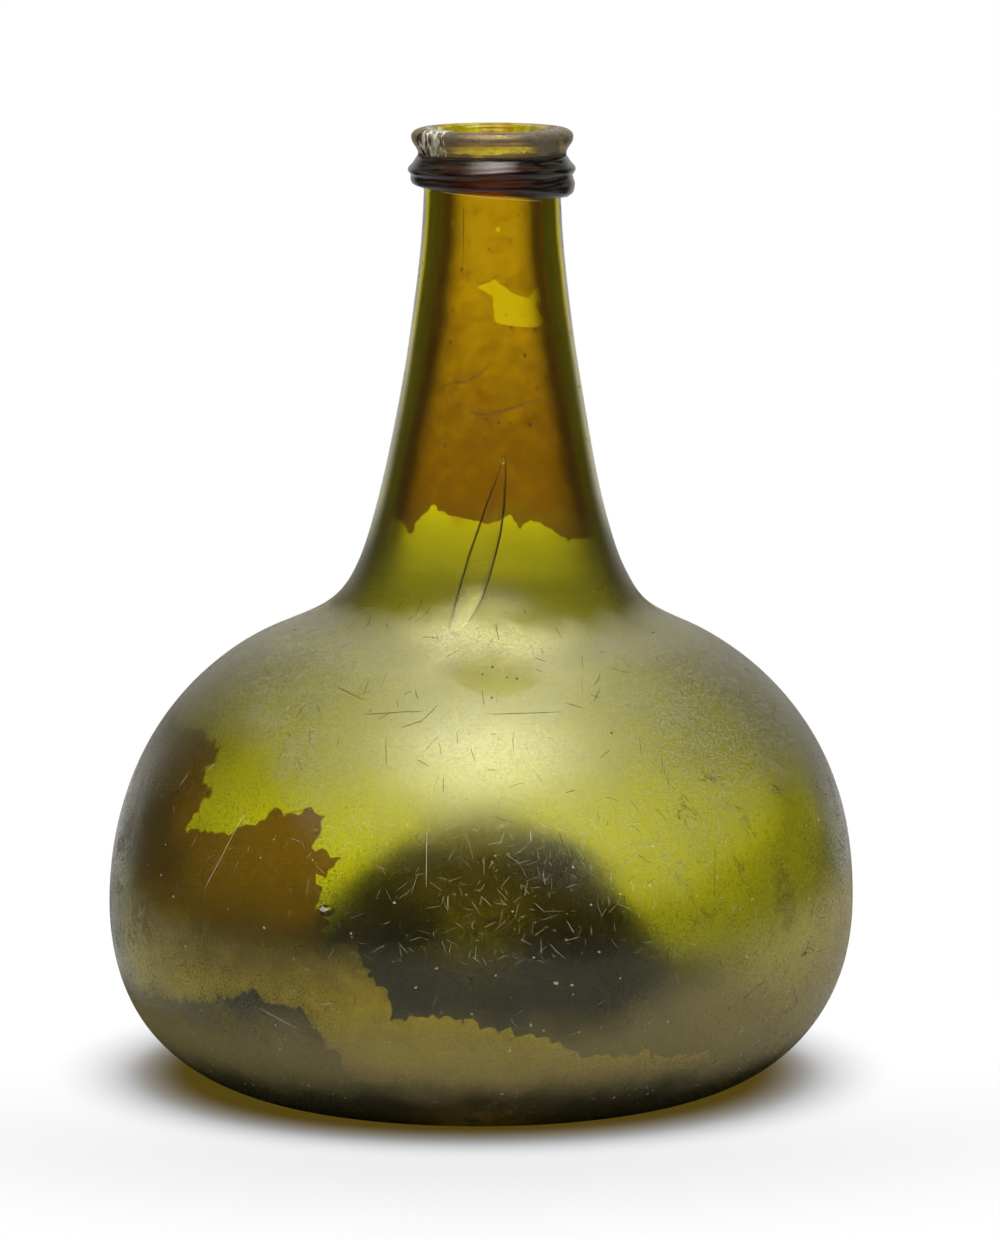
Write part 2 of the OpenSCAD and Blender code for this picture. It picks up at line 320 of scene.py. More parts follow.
# Puts nodes on one material, group or world; a value is a number, a colour or another node's output
class shaderDesk:
    def __init__(self, tree):
        self.tree = tree

    def feed(self, slot, value):
        if isinstance(value, bpy.types.NodeSocket):
            self.tree.links.new(value, slot)
        else:
            slot.default_value = value

    def add(self, kind, **settings):
        node = self.tree.nodes.new("ShaderNode" + kind)
        for key, value in settings.items():
            if key in node.inputs:
                self.feed(node.inputs[key], value)
            else:
                setattr(node, key, value)
        return node

    def where(self, kind="Object"):
        spot = self.add("TexCoord").outputs[kind]
        parts = self.add("SeparateXYZ", Vector=spot).outputs
        return spot, parts["X"], parts["Y"], parts["Z"]

    def ramp(self, value, limits, reach=(0.0, 1.0), soft=True):
        node = self.add("MapRange", interpolation_type="SMOOTHSTEP" if soft else "LINEAR", Value=value)
        for slot, number in zip(node.inputs[1:5], (*limits, *reach)):
            self.feed(slot, number)
        return node.outputs["Result"]

    def sums(self, operation, first, second=0.0, clamp=False):
        node = self.add("Math", operation=operation, use_clamp=clamp)
        self.feed(node.inputs[0], first)
        self.feed(node.inputs[1], second)
        return node.outputs["Value"]

    def times(self, first, *others):
        for value in others:
            first = self.sums("MULTIPLY", first, value)
        return first

    def plus(self, first, *others):
        for value in others:
            first = self.sums("ADD", first, value)
        return first

    def less(self, first, second):
        return self.sums("SUBTRACT", first, second)

    def between(self, value, rise, fall, top=1.0):
        return self.times(self.ramp(value, rise, (0.0, top)), self.ramp(value, fall, (1.0, 0.0)))

    def cloud(self, vector, scale, detail, rough=0.5, distort=0.0):
        settings = {"Scale": scale, "Detail": detail, "Roughness": rough, "Distortion": distort}
        return self.add("TexNoise", Vector=vector, **settings).outputs["Fac"]

    def mottle(self, vector, noise, limits, reach=(0.0, 1.0), soft=True):
        return self.ramp(self.cloud(vector, *noise), limits, reach, soft)

    def drawnOut(self, vector, scale):
        return self.add("Mapping", Vector=vector, Scale=scale).outputs["Vector"]

    def mix(self, share, first, second):
        node = self.add("Mix")
        for slot, value in ((0, share), (2, first), (3, second)):
            self.feed(node.inputs[slot], value)
        return node.outputs[0]

    def blend(self, share, first, second):
        node = self.add("Mix", data_type="RGBA")
        for slot, value in ((0, share), (6, first), (7, second)):
            self.feed(node.inputs[slot], value)
        return node.outputs[2]

    def coat(self, tone, cover, rough):
        node = self.add("BsdfPrincipled", Roughness=rough, Alpha=cover)
        self.feed(node.inputs["Base Color"], tone)
        return node

    def lay(self, share, under, over):
        node = self.add("MixShader", Fac=share)
        self.feed(node.inputs[1], under.outputs[0])
        self.feed(node.inputs[2], over.outputs[0])
        return node

    def show(self, shader, volume=None):
        out = self.add("OutputMaterial", Surface=shader.outputs[0])
        if volume:
            self.feed(out.inputs["Volume"], volume.outputs[0])


def newGroup(name, inputs, values, colours=()):
    group = bpy.data.node_groups.new(name, "ShaderNodeTree")
    for label, value in inputs.items():
        socket = group.interface.new_socket(label, in_out="INPUT", socket_type="NodeSocketFloat")
        socket.default_value = value
    for label in values:
        group.interface.new_socket(label, in_out="OUTPUT", socket_type="NodeSocketFloat")
    for label in colours:
        group.interface.new_socket(label, in_out="OUTPUT", socket_type="NodeSocketColor")
    source, result = group.nodes.new("NodeGroupInput"), group.nodes.new("NodeGroupOutput")
    return shaderDesk(group), source.outputs, result.inputs


def newMaterial(name):
    material = bpy.data.materials.new(name)
    material.use_nodes = True
    material.node_tree.nodes.clear()
    return material, shaderDesk(material.node_tree)


# Wear of the glass, by height in m: a dulled shoulder, a cleaner neck and a deeper colour in the body
wear = {
    "neck": (0.098, 0.116),
    "bodyTop": (0.094, 0.104),
    "dullRise": (0.058, 0.074),
    "dullFall": (0.093, 0.1),
    "dullMore": 0.2,
    "clouds": (6.0, 0.62),
    "cloudLimits": (0.32, 0.7),
    "ripple": (60.0, 2.0),
}


def wornGroup():
    inputs = {"Size": 60.0, "Smooth": 0.12, "Dull": 0.3, "Inside": 0.2, "Neck": 1.0}
    desk, given, result = newGroup("wornFace", inputs, ("Roughness", "Height", "Body"))
    where, _, _, z = desk.where()
    limits, reach = wear["cloudLimits"], (given["Smooth"], given["Dull"])
    patchy = desk.mottle(where, (given["Size"], *wear["clouds"]), limits, reach, soft=False)
    eased = desk.times(patchy, desk.ramp(z, wear["neck"], (1.0, given["Neck"])))
    worn = desk.plus(eased, desk.between(z, wear["dullRise"], wear["dullFall"], wear["dullMore"]))
    side = desk.add("Attribute", attribute_name="inner").outputs["Fac"]
    desk.feed(result["Roughness"], desk.mix(side, worn, given["Inside"]))
    desk.feed(result["Height"], desk.cloud(where, *wear["ripple"]))
    desk.feed(result["Body"], desk.ramp(z, wear["bodyTop"], (1.0, 0.0)))
    return desk.tree


wornFace = wornGroup()

glassFinish = {
    "ior": 1.52,
    "colour": (0.946, 0.931, 0.0, 1),
    "density": 900,
    "wear": {"Smooth": 0.19, "Dull": 0.29, "Inside": 0.1, "Neck": 0.42},
    "bump": 0.02,
    "base": (0.985, 0.965, 0.95, 1),
    "body": (0.905, 0.92, 0.83, 1),
    "clarity": 1.0,
}
rimFinish = {
    "ior": 1.52,
    "colour": (0.66, 0.42, 0.1, 1),
    "density": 1700,
    "wear": {"Smooth": 0.17, "Dull": 0.28, "Inside": 0.3, "Neck": 1.0},
    "bump": 0.08,
    "base": (0.62, 0.45, 0.3, 1),
    "clarity": 1.0,
}


def glassMaterial(name, finish):
    material, desk = newMaterial(name)
    worn = desk.add("Group", node_tree=wornFace, **finish["wear"]).outputs
    bump = desk.add("Bump", Strength=finish["bump"], Distance=mm, Height=worn["Height"])
    base = finish["base"]
    if "body" in finish:
        base = desk.blend(worn["Body"], base, finish["body"])
    glass = desk.add("BsdfPrincipled", IOR=finish["ior"], Normal=bump.outputs["Normal"])
    glass.inputs["Transmission Weight"].default_value = finish["clarity"]
    desk.feed(glass.inputs["Base Color"], base)
    desk.feed(glass.inputs["Roughness"], worn["Roughness"])
    desk.show(glass, desk.add("VolumeAbsorption", Color=finish["colour"], Density=finish["density"]))
    return material


oliveGlass = glassMaterial("oliveGlass", glassFinish)
rimGlass = glassMaterial("rimGlass", rimFinish)

# Weathered skin of the body, in m: a pale sheen, a highlight painted across the front of the shoulder, an
# oval of less sheen painted as the neck's dark reflection, dust, fine grain drawn round it, a tan band,
# painted shade low down at the foot and round the neck's root, dark pits high up and pale specks low down.
# A noise is its scale, detail and roughness
hazeAndShading = {
    "rise": (0.053, 0.07),
    "fall": (0.0905, 0.0967),
    "drift": {"noise": (70.0, 4.0, 0.6), "limits": (0.3, 0.7), "reach": (-0.0014, 0.0014)},
    "leftX": (-0.05, -0.028),
    "leftUp": 0.018,
    "middleX": (0.0, 0.022),
    "middleDown": 0.009,
    "rightX": (0.036, 0.062),
    "rightUp": 0.016,
    "patch": {"noise": (60.0, 9.0, 0.7), "limits": (0.3, 0.7), "reach": (0.7, 1.25), "soft": False},
    "veil": {"noise": (1900.0, 4.0, 0.7), "limits": (0.35, 0.65), "reach": (0.7, 1.3), "soft": False},
    "sheen": (0.95, 0.94, 0.88, 1),
    "neckReflectionAt": (0.0022, 0.0866),
    "neckReflectionHalf": (0.0086, 0.0031),
    "neckReflectionEdge": (0.4, 1.4),
    "neckReflectionClear": 0.35,
    "neckReflectionFrontY": (-0.02, -0.01),
    "paintedHighlight": (0.97, 0.9, 0.4, 1),
    "paintedHighlightRise": (0.085, 0.0925),
    "paintedHighlightFall": (0.092, 0.0972),
    "paintedHighlightX": (0.004, 0.02),
    "paintedHighlightCover": (0.26, 0.026),
    "dusty": (0.05, 0.047, 0.018, 1),
    "dust": {"noise": (2100.0, 3.0, 0.6), "limits": (0.45, 0.68)},
    "blotch": {"noise": (85.0, 8.0, 0.75), "limits": (0.42, 0.62), "reach": (0.4, 1.0)},
    "smear": {"noise": (64.0, 7.0, 0.72), "limits": (0.58, 0.68), "reach": (0.0, 0.4)},
    "grainDraw": (420, 420, 1500),
    "grain": {"noise": (1.0, 4.0, 0.6), "limits": (0.52, 0.7), "reach": (0.0, 0.3)},
    "dustTurn": (0.05, 0.068),
    "dustHigh": 0.65,
    "dustFall": (0.089, 0.097),
    "dustTop": 0.2,
    "dustX": (0.012, 0.045),
    "dustSides": (0.75, 1.7),
    "tan": (0.62, 0.5, 0.2, 1),
    "tanRise": (0.006, 0.015),
    "tanFall": (0.016, 0.03),
    "tanFrom": 0.02,
    "tanTilt": 0.4,
    "tanCover": 0.25,
    "paintedShade": (0.032, 0.03, 0.012, 1),
    "rootShadeRise": (0.0915, 0.099),
    "rootShadeFall": (0.103, 0.117),
    "rootShadeCover": 0.28,
    "baseZ": (0.003, 0.015),
    "baseCover": 0.8,
    "footX": (-0.05, -0.012),
    "footUp": 0.011,
    "speck": (0.86, 0.82, 0.66, 1),
    "grime": (0.06, 0.055, 0.02, 1),
    "pitScale": 560.0,
    "pitSize": (0.05, 0.12),
    "pitChance": (0.84, 0.86),
    "pitTurn": (0.05, 0.066),
    "least": 0.0001,
}


def hazeAndShadingGroup():
    h = hazeAndShading
    inputs = {"Haze": 0.12, "Low": 0.002, "Speck": 0.5, "Dust": 0.2}
    desk, given, result = newGroup("hazeAndShadingMask", inputs, ("Cover", "Sheen"), ("Tone",))
    where, x, y, z = desk.where()
    aside = desk.sums("ABSOLUTE", x)
    height = desk.plus(z, desk.mottle(where, **h["drift"]))
    # The veil: its lower edge sways from side to side, and an oval at the front has less of it, painted
    # darker as the neck's reflection in the shoulder
    left = desk.ramp(x, h["leftX"], (h["leftUp"], 0.0))
    right = desk.ramp(x, h["rightX"], (0.0, h["rightUp"]))
    sway = desk.less(desk.plus(left, right), desk.ramp(x, h["middleX"], (0.0, h["middleDown"])))
    rise = desk.ramp(desk.less(height, sway), h["rise"])
    band = desk.times(rise, desk.ramp(height, h["fall"], (1.0, 0.0)))
    offX = desk.sums("DIVIDE", desk.less(x, h["neckReflectionAt"][0]), h["neckReflectionHalf"][0])
    offZ = desk.sums("DIVIDE", desk.less(z, h["neckReflectionAt"][1]), h["neckReflectionHalf"][1])
    spread = desk.plus(desk.times(offX, offX), desk.times(offZ, offZ))
    inNeckReflection = desk.times(desk.ramp(y, h["neckReflectionFrontY"], (1.0, 0.0)), desk.ramp(spread, h["neckReflectionEdge"], (1.0, 0.0)))
    bandMinusReflection = desk.times(band, desk.ramp(inNeckReflection, (0.0, 1.0), (1.0, h["neckReflectionClear"])))
    level = desk.ramp(bandMinusReflection, (0.0, 1.0), (given["Low"], given["Haze"]), soft=False)
    grained = desk.mottle(where, **h["veil"])
    veil = desk.times(level, desk.mottle(where, **h["patch"]), grained)
    # Pits and specks
    cells = desk.add("TexVoronoi", Scale=h["pitScale"], Vector=where).outputs
    chance = desk.add("SeparateColor", Color=cells["Color"]).outputs["Red"]
    chosen = desk.ramp(chance, h["pitChance"], soft=False)
    pits = desk.times(desk.ramp(cells["Distance"], h["pitSize"], (1.0, 0.0)), chosen)
    specks = desk.times(pits, given["Speck"])
    pitTone = desk.blend(desk.ramp(z, h["pitTurn"]), h["speck"], h["grime"])
    # Dust, smears and drawn grain, thicker at the sides
    dust = desk.times(desk.mottle(where, **h["dust"]), desk.mottle(where, **h["blotch"]))
    streaked = desk.times(desk.mottle(desk.drawnOut(where, h["grainDraw"]), **h["grain"]), band)
    dirty = desk.plus(dust, desk.mottle(where, **h["smear"]), streaked)
    lower = desk.ramp(z, h["dustTurn"], (1.0, h["dustHigh"]))
    upper = desk.ramp(z, h["dustFall"], (1.0, h["dustTop"]))
    sides = desk.ramp(aside, h["dustX"], h["dustSides"])
    dusty = desk.times(dirty, desk.times(lower, upper), sides, given["Dust"])
    # Painted shade in the crease round the neck's root and along the foot, and the tan band,
    # which climbs to the right
    ring = desk.times(desk.between(height, h["rootShadeRise"], h["rootShadeFall"]), h["rootShadeCover"])
    footing = desk.less(height, desk.ramp(x, h["footX"], (h["footUp"], 0.0)))
    paintedShade = desk.sums("MAXIMUM", ring, desk.ramp(footing, h["baseZ"], (h["baseCover"], 0.0)))
    tilt = desk.times(desk.sums("MAXIMUM", desk.less(x, h["tanFrom"])), h["tanTilt"])
    tanFall = desk.ramp(desk.less(height, tilt), h["tanFall"], (h["tanCover"], 0.0))
    tanned = desk.times(desk.ramp(height, h["tanRise"]), tanFall)
    # A pale highlight painted across the front of the shoulder, strongest in the middle
    paintedHighlightBand = desk.between(height, h["paintedHighlightRise"], h["paintedHighlightFall"])
    paintedHighlight = desk.times(paintedHighlightBand, desk.ramp(aside, h["paintedHighlightX"], h["paintedHighlightCover"]), grained)
    cover, tone = veil, h["sheen"]
    layers = [(paintedHighlight, h["paintedHighlight"]), (dusty, h["dusty"]), (specks, pitTone)]
    layers += [(tanned, h["tan"]), (paintedShade, h["paintedShade"])]
    for layer, colour in layers:
        cover = desk.plus(cover, layer)
        tone = desk.blend(desk.sums("DIVIDE", layer, desk.plus(cover, h["least"])), tone, colour)
    desk.feed(result["Tone"], tone)
    desk.feed(result["Cover"], desk.sums("ADD", cover, clamp=True))
    desk.feed(result["Sheen"], desk.sums("DIVIDE", veil, desk.plus(cover, h["least"])))
    return desk.tree


hazeAndShadingMask = hazeAndShadingGroup()

# The worn skin of the outer face, carrying the painted highlight, reflection and shade of its mask
skin = {"lift": 0.03, "rough": 0.48, "wear": {"Haze": 0.1, "Low": 0.002, "Speck": 0.5, "Dust": 0.4}}


def skinMaterial():
    material, desk = newMaterial("skinWearAndShadingLook")
    mask = desk.add("Group", node_tree=hazeAndShadingMask, **skin["wear"]).outputs
    face = desk.coat(mask["Tone"], mask["Cover"], skin["rough"])
    face.inputs["Specular IOR Level"].default_value = 0.0
    desk.feed(face.inputs["Metallic"], mask["Sheen"])
    desk.show(face)
    return material


# Marks on the skin, some of them painted highlights and painted shade: colour, cover and roughness
markFinish = {
    "scratchAndHighlightLook": ((0.8, 0.76, 0.6, 1), 0.36, 0.6),
    "grimeAndShadeLook": ((0.035, 0.025, 0.008, 1), 0.74, 0.6),
    "smearLook": ((0.05, 0.035, 0.006, 1), 0.34, 0.6),
}


def markMaterial(name):
    material, desk = newMaterial(name)
    desk.show(desk.coat(*markFinish[name]))
    return material


# Dried films: tints by height and at the back, mottled, and how much of a body each has
neckFilmFinish = {
    "low": (0.62, 0.49, 0.2, 1),
    "high": (0.88, 0.79, 0.42, 1),
    "back": (1.0, 0.9, 0.6, 1),
    "backY": (-0.002, 0.002),
    "riseZ": (0.114, 0.168),
    "topZ": (0.175, 0.181),
    "wash": {"noise": (250.0, 7.0, 0.72), "limits": (0.36, 0.64), "reach": (-0.3, 0.3), "soft": False},
    "dried": (0.62, 0.33, 0.03, 1),
    "pale": (0.72, 0.46, 0.08, 1),
    "body": (0.05, 0.03),
    "through": 0.5,
}
bodyFilmFinish = {
    "low": (0.8, 0.66, 0.5, 1),
    "high": (0.59, 0.43, 0.27, 1),
    "riseZ": (0.023, 0.042),
    "topZ": (0.175, 0.181),
    "wash": {"noise": (95.0, 7.0, 0.72), "limits": (0.36, 0.64), "reach": (-0.1, 0.1), "soft": False},
    "dried": (0.9, 0.67, 0.33, 1),
    "pale": (1.0, 0.85, 0.52, 1),
    "body": (1.0, 0.04),
    "through": 0.15,
}
filmGrain = {"noise": (160.0, 8.0, 0.7), "limits": (0.3, 0.7), "reach": (0.7, 1.3)}


def filmMaterial(name, finish):
    material, desk = newMaterial(name)
    where, _, y, z = desk.where()
    climb = desk.ramp(z, finish["riseZ"])
    washed = desk.plus(climb, desk.mottle(where, **finish["wash"]))
    thin = desk.sums("SUBTRACT", washed, desk.ramp(z, finish["topZ"]), clamp=True)
    shade = desk.blend(thin, finish["low"], finish["high"])
    if "back" in finish:
        shade = desk.blend(desk.ramp(y, finish["backY"]), shade, finish["back"])
    grain = desk.cloud(where, *filmGrain["noise"])
    tone = desk.blend(grain, finish["dried"], finish["pale"])
    clear = desk.add("BsdfTransparent", Color=shade)
    matt, lit = desk.add("BsdfDiffuse", Color=tone), desk.add("BsdfTranslucent", Color=tone)
    dried = desk.lay(finish["through"], matt, lit)
    settled = desk.ramp(climb, (0.0, 1.0), finish["body"], soft=False)
    patchy = desk.ramp(grain, filmGrain["limits"], filmGrain["reach"], soft=False)
    desk.show(desk.lay(desk.sums("MULTIPLY", settled, patchy, clamp=True), clear, dried))
    return material


print("glass and films mixed")

# The chip out of the lip, left of the front: its place, half sizes and depth in mm, and its ridges
chip = {
    "az": -52,
    "z": 183.4,
    "halfW": 4.3,
    "halfH": 4.4,
    "depth": 1.9,
    "hollow": 0.7,
    "ridge": 0.34,
    "ridges": 3.6,
    "waver": (1.3, 1.7),
    "splinters": (0.6, 9.1),
    "wall": 1,
    "lift": 0.04,
    "fineReach": 19,
    "fineGap": 0.5,
    "fineCount": 84,
}


def chipCut(r, az, z):
    across = (math.degrees(az) - chip["az"]) * math.pi / 180 * bottle["lipEdge"][0]
    inside = 1 - (across / chip["halfW"]) ** 2 - ((z - chip["z"]) / chip["halfH"]) ** 2
    if inside <= 0 or r < bottle["bore"][0] + chip["wall"]:
        return 0
    (swing, often), (share, fine) = chip["waver"], chip["splinters"]
    ridges = math.sin(across * chip["ridges"] + swing * math.sin(z * often))
    ridges += share * math.sin(across * fine + z)
    return max(0, chip["depth"] * inside ** chip["hollow"] + chip["ridge"] * ridges * math.sqrt(inside))


# Turns round the axis at which every ring of the wall has a point, closer together over the chip
def ringTurns():
    low, high = chip["az"] - chip["fineReach"], chip["az"] + chip["fineReach"]
    gap, count = chip["fineGap"], chip["fineCount"]
    even = [360 * j / bottle["segments"] - 180 for j in range(bottle["segments"])]
    fine = [low + (high - low) * i / count for i in range(count + 1)]
    return [math.radians(az) for az in sorted([az for az in even if not low - gap < az < high + gap] + fine)]


turns = ringTurns()


def blowBottle():
    boreR, boreZ = bottle["bore"]
    boreSteps = int((boreZ - bottle["boreLowZ"]) / bottle["boreStep"])
    boreRun = [(boreR, boreZ - bottle["boreStep"] * i) for i in range(1, boreSteps + 1)]
    lipRoot = [bottle["underLip"], bottle["lipRoot"]]
    outside = joinRuns(outerSide["kick"], outerSide["fillet"], outerFlank, lipRoot, lipFlare, lipRoll)
    downInside = [innerSide[run][::-1] for run in ("neck", "root", "belly", "heel", "kick")]
    inside = joinRuns(lipMouth, boreRun, *downInside)
    shape, rows, inner = ([], []), [], []
    for points, within in ((outside, False), (inside[1:], True)):
        for r, z in points:
            spots = [place(r + waveAt(r, az, z, within) - chipCut(r, az, z), az, z) for az in turns]
            row = addRow(shape, spots if r > 1e-6 else spots[:1])
            inner += [float(within)] * len(row)
            rows.append(row if r > 1e-6 else row * len(turns))
    stitch(rows, shape)
    return shape, inner


# The stretched bubble at the neck's root: left and right edges, in degrees from the front, and height in mm
tearEdges = [
    (-11.5, -9.5, 92.6),
    (-13.5, -7.6, 93.7),
    (-13.6, -3.0, 98.3),
    (-12.1, 0.4, 102.6),
    (-9.7, 3.2, 106.8),
    (-6.7, 5.6, 110.6),
    (-2.5, 7.6, 115.6),
    (3.2, 8.6, 120.8),
    (5.5, 8.5, 123.0),
    (7.4, 8.1, 125.0),
]
tear = {"depth": 0.8, "halfThick": 0.1, "fullHalf": 4, "round": 12}


def addTear(shape):
    rows = []
    for left, right, z in tearEdges:
        middle, half = (left + right) / 2, (right - left) / 2
        thick = tear["halfThick"] * min(1, half / tear["fullHalf"])
        spots = []
        for turn in evenTurns(tear["round"]):
            spots.append(onWall(middle + half * math.cos(turn), z, -tear["depth"] + thick * math.sin(turn)))
        rows.append(addRow(shape, spots))
    stitch(rows, shape)
    shape[1].append(tuple(rows[0][::-1]))
    shape[1].append(tuple(rows[-1]))


# Seeds, the small bubbles caught in the metal, and one larger blister, with a highlight painted over it
seeds = {
    "count": 150,
    "z": (9, 62),
    "zLean": 1.5,
    "size": (0.1, 0.34),
    "sizeLean": 3,
    "long": (1, 1.9),
    "flat": 0.7,
    "depth": (0.7, 1.9),
    "around": 10,
    "bands": 6,
}
blister = {
    "az": -23.5,
    "z": 45.6,
    "depth": 0.85,
    "half": (1.7, 1.0, 0.6),
    "paintedGlintAt": (-0.4, 0.2),
    "paintedGlint": (0.5, 0.4),
    "corners": 16,
}


def skewed(draw, limits, lean):
    return limits[0] + (limits[1] - limits[0]) * draw.random() ** lean


def addVoid(az, z, depth, half, shape):
    r = radiusAt(z)
    rows = []
    for i in range(1, seeds["bands"]):
        lat = math.pi * i / seeds["bands"] - math.pi / 2
        spots = []
        for lon in evenTurns(seeds["around"]):
            across = half[0] * math.cos(lat) * math.cos(lon)
            deep = half[2] * math.cos(lat) * math.sin(lon)
            spots.append(onWall(az + math.degrees(across / r), z + half[1] * math.sin(lat), deep - depth))
        rows.append(addRow(shape, spots))
    tips = [addRow(shape, [onWall(az, z + rise, -depth)]) * seeds["around"] for rise in (-half[1], half[1])]
    stitch([tips[0], *rows, tips[1]], shape)


def addSeeds(shape, draw):
    addVoid(blister["az"], blister["z"], blister["depth"], blister["half"], shape)
    for _ in range(seeds["count"]):
        az = draw.uniform(-180, 180)
        z = skewed(draw, seeds["z"], seeds["zLean"])
        size = skewed(draw, seeds["size"], seeds["sizeLean"])
        half = (size * draw.uniform(*seeds["long"]), size, size * seeds["flat"])
        addVoid(az, z, draw.uniform(*seeds["depth"]), half, shape)


bottleShape, innerShare = blowBottle()
addTear(bottleShape)
addSeeds(bottleShape, random.Random(bottle["seed"]))
bottleGlass = makeObject("bottleGlass", bottleShape, oliveGlass)
innerShare += [1.0] * (len(bottleShape[0]) - len(innerShare))
bottleGlass.data.attributes.new("inner", "FLOAT", "POINT").data.foreach_set("value", innerShare)
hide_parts("bottle_body")
print("bottle blown with", len(bottleShape[1]), "faces")

# The string rim: section in mm from its underside, where a pair is for the left and the right of the neck.
# Pulls are the curves' pulls after a station and before the next, from the roll to the top
rim = {
    "lowZ": (175.0, 172.8),
    "ridgeZ": (177.9, 178.4),
    "topZ": 180.8,
    "ridgeR": (16.25, 16.1),
    "rollIn": (0.5, 0.12),
    "rollUp": (0.36, 0.46),
    "rollPull": 0.7,
    "waistIn": (0.1, 0.55),
    "nipUp": 0.62,
    "nipOut": 0.1,
    "brow": (-0.8, 1.1),
    "undercut": (-0.9, 0.05),
    "pulls": [
        ((0, 0.5), (-0.1, -0.3)),
        ((0.2, 0.3), (0, -0.4)),
        ((0, 0.35), (0.3, -0.3)),
        ((-0.4, 0.5), (0.3, -0.3)),
    ],
    "wobble": [(0.14, 3, 0.8), (0.08, 7, 0)],
    "lowWobble": 0.5,
    "topWobble": 0.4,
    "lowGap": 0.3,
    "topGap": 0.12,
    "gap": 0.07,
    "backShares": (0.75, 0.5, 0.25),
    "perCurve": 4,
    "segments": 180,
}


def shifted(point, shift):
    return point[0] + shift[0], point[1] + shift[1]


def rimSection(az):
    right = 0.5 + 0.5 * math.sin(az)
    wobble = sum(amp * math.sin(often * az + shift) for amp, often, shift in rim["wobble"])

    def across(name):
        return rim[name][0] + right * (rim[name][1] - rim[name][0])

    low = across("lowZ") + rim["lowWobble"] * wobble
    ridge = across("ridgeR"), across("ridgeZ") + wobble
    roll = ridge[0] - across("rollIn"), low + across("rollUp") * (ridge[1] - low)
    nip = roll[0] - across("waistIn") + rim["nipOut"], roll[1] + rim["nipUp"] * (ridge[1] - roll[1])
    foot = radiusAt(low) + rim["lowGap"], low
    top = bottle["lipRoot"][0] + rim["topGap"], rim["topZ"] + rim["topWobble"] * wobble
    stations = [foot, roll, nip, ridge, shifted(ridge, rim["brow"]), top]
    underPull = shifted((roll[0] - foot[0], 0), rim["undercut"])
    pulls = [(underPull, (0, rim["rollPull"] * (low - roll[1])))] + rim["pulls"]
    section = []
    for start, end, (after, before) in zip(stations, stations[1:], pulls):
        run = cubic(start, shifted(start, after), shifted(end, before), end, bottle["step"]["lip"])
        count = rim["perCurve"]
        section += [run[round(i * (len(run) - 1) / count)] for i in range(count)]
    return section + [top]


def windRim():
    shape, rows = ([], []), []
    for az in evenTurns(rim["segments"]):
        section = rimSection(az)
        low, high = section[0][1], section[-1][1]
        for share in rim["backShares"]:
            z = low + share * (high - low)
            section.append((radiusAt(min(z, rim["topZ"])) + rim["gap"], z))
        rows.append(addRow(shape, [place(r + waveAt(r, az, z), az, z) for r, z in section]))
    stitch(rows + rows[:1], shape, flip=True)
    return shape


stringRim = makeObject("stringRim", windRim(), rimGlass)
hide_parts("string_rim")
print("string rim wound")

# Pale wear drawn out along the rim, less of it at the front
rimFrost = {
    "lift": 0.03,
    "tone": (0.44, 0.38, 0.29, 1),
    "rough": 0.5,
    "draw": (230, 230, 2500),
    "streaks": {"noise": (1.0, 4.0), "limits": (0.4, 0.68), "reach": (0.0, 0.11), "soft": False},
    "sideX": (0.004, 0.016),
    "frontShare": 0.3,
}


def rimFrostMaterial():
    material, desk = newMaterial("rimFrostLook")
    where, x, _, _ = desk.where()
    worn = desk.mottle(desk.drawnOut(where, rimFrost["draw"]), **rimFrost["streaks"])
    side = desk.ramp(desk.sums("ABSOLUTE", x), rimFrost["sideX"], (rimFrost["frontShare"], 1.0))
    desk.show(desk.coat(rimFrost["tone"], desk.times(worn, side), rimFrost["rough"]))
    return material


def coatRim():
    shape, rows = ([], []), []
    for az in evenTurns(rim["segments"]):
        section = rimSection(az)
        spots = [liftedSpot(section, i, az, rimFrost["lift"]) for i in range(len(section))]
        rows.append(addRow(shape, spots))
    stitch(rows + rows[:1], shape, around=False, flip=True)
    return shape


rimWear = makeObject("rimWear", coatRim(), rimFrostMaterial())

# The pontil scar: a rough broken ring under the crown of the kick
scar = {
    "inR": 8,
    "outR": 13,
    "thick": 1.1,
    "gap": 0.03,
    "grain": 3,
    "ragged": 0.5,
    "hump": (0.12, 0.76),
    "lumps": (0.75, 0.5),
    "lumpGrain": 2.3,
    "rings": 7,
    "segments": 72,
}


def breakScar():
    shape, layers = ([], []), []
    (humpFrom, humpSpan), (least, lump) = scar["hump"], scar["lumps"]
    for thick in (0, scar["thick"]):
        rows = []
        for i in range(scar["rings"]):
            share = i / (scar["rings"] - 1)
            hump = thick * math.sin(math.pi * (humpFrom + humpSpan * share))
            spots = []
            for az in evenTurns(scar["segments"]):
                spot = Vector((math.sin(az), math.cos(az), share)) * scar["grain"]
                r = scar["inR"] + share * (scar["outR"] - scar["inR"]) + scar["ragged"] * noise.noise(spot)
                z = readRun(outerSide["kick"], r, 0) - scar["gap"]
                z -= hump * (least + lump * noise.noise(spot * scar["lumpGrain"]))
                spots.append(place(r, az, z))
            rows.append(addRow(shape, spots))
        layers.append(rows)
    upper, lower = layers
    stitch(lower + upper[::-1] + lower[:1], shape)
    return shape


pontilScar = makeObject("pontilScar", breakScar(), rimGlass)
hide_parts("pontil_scar")
print("pontil scar broken off")

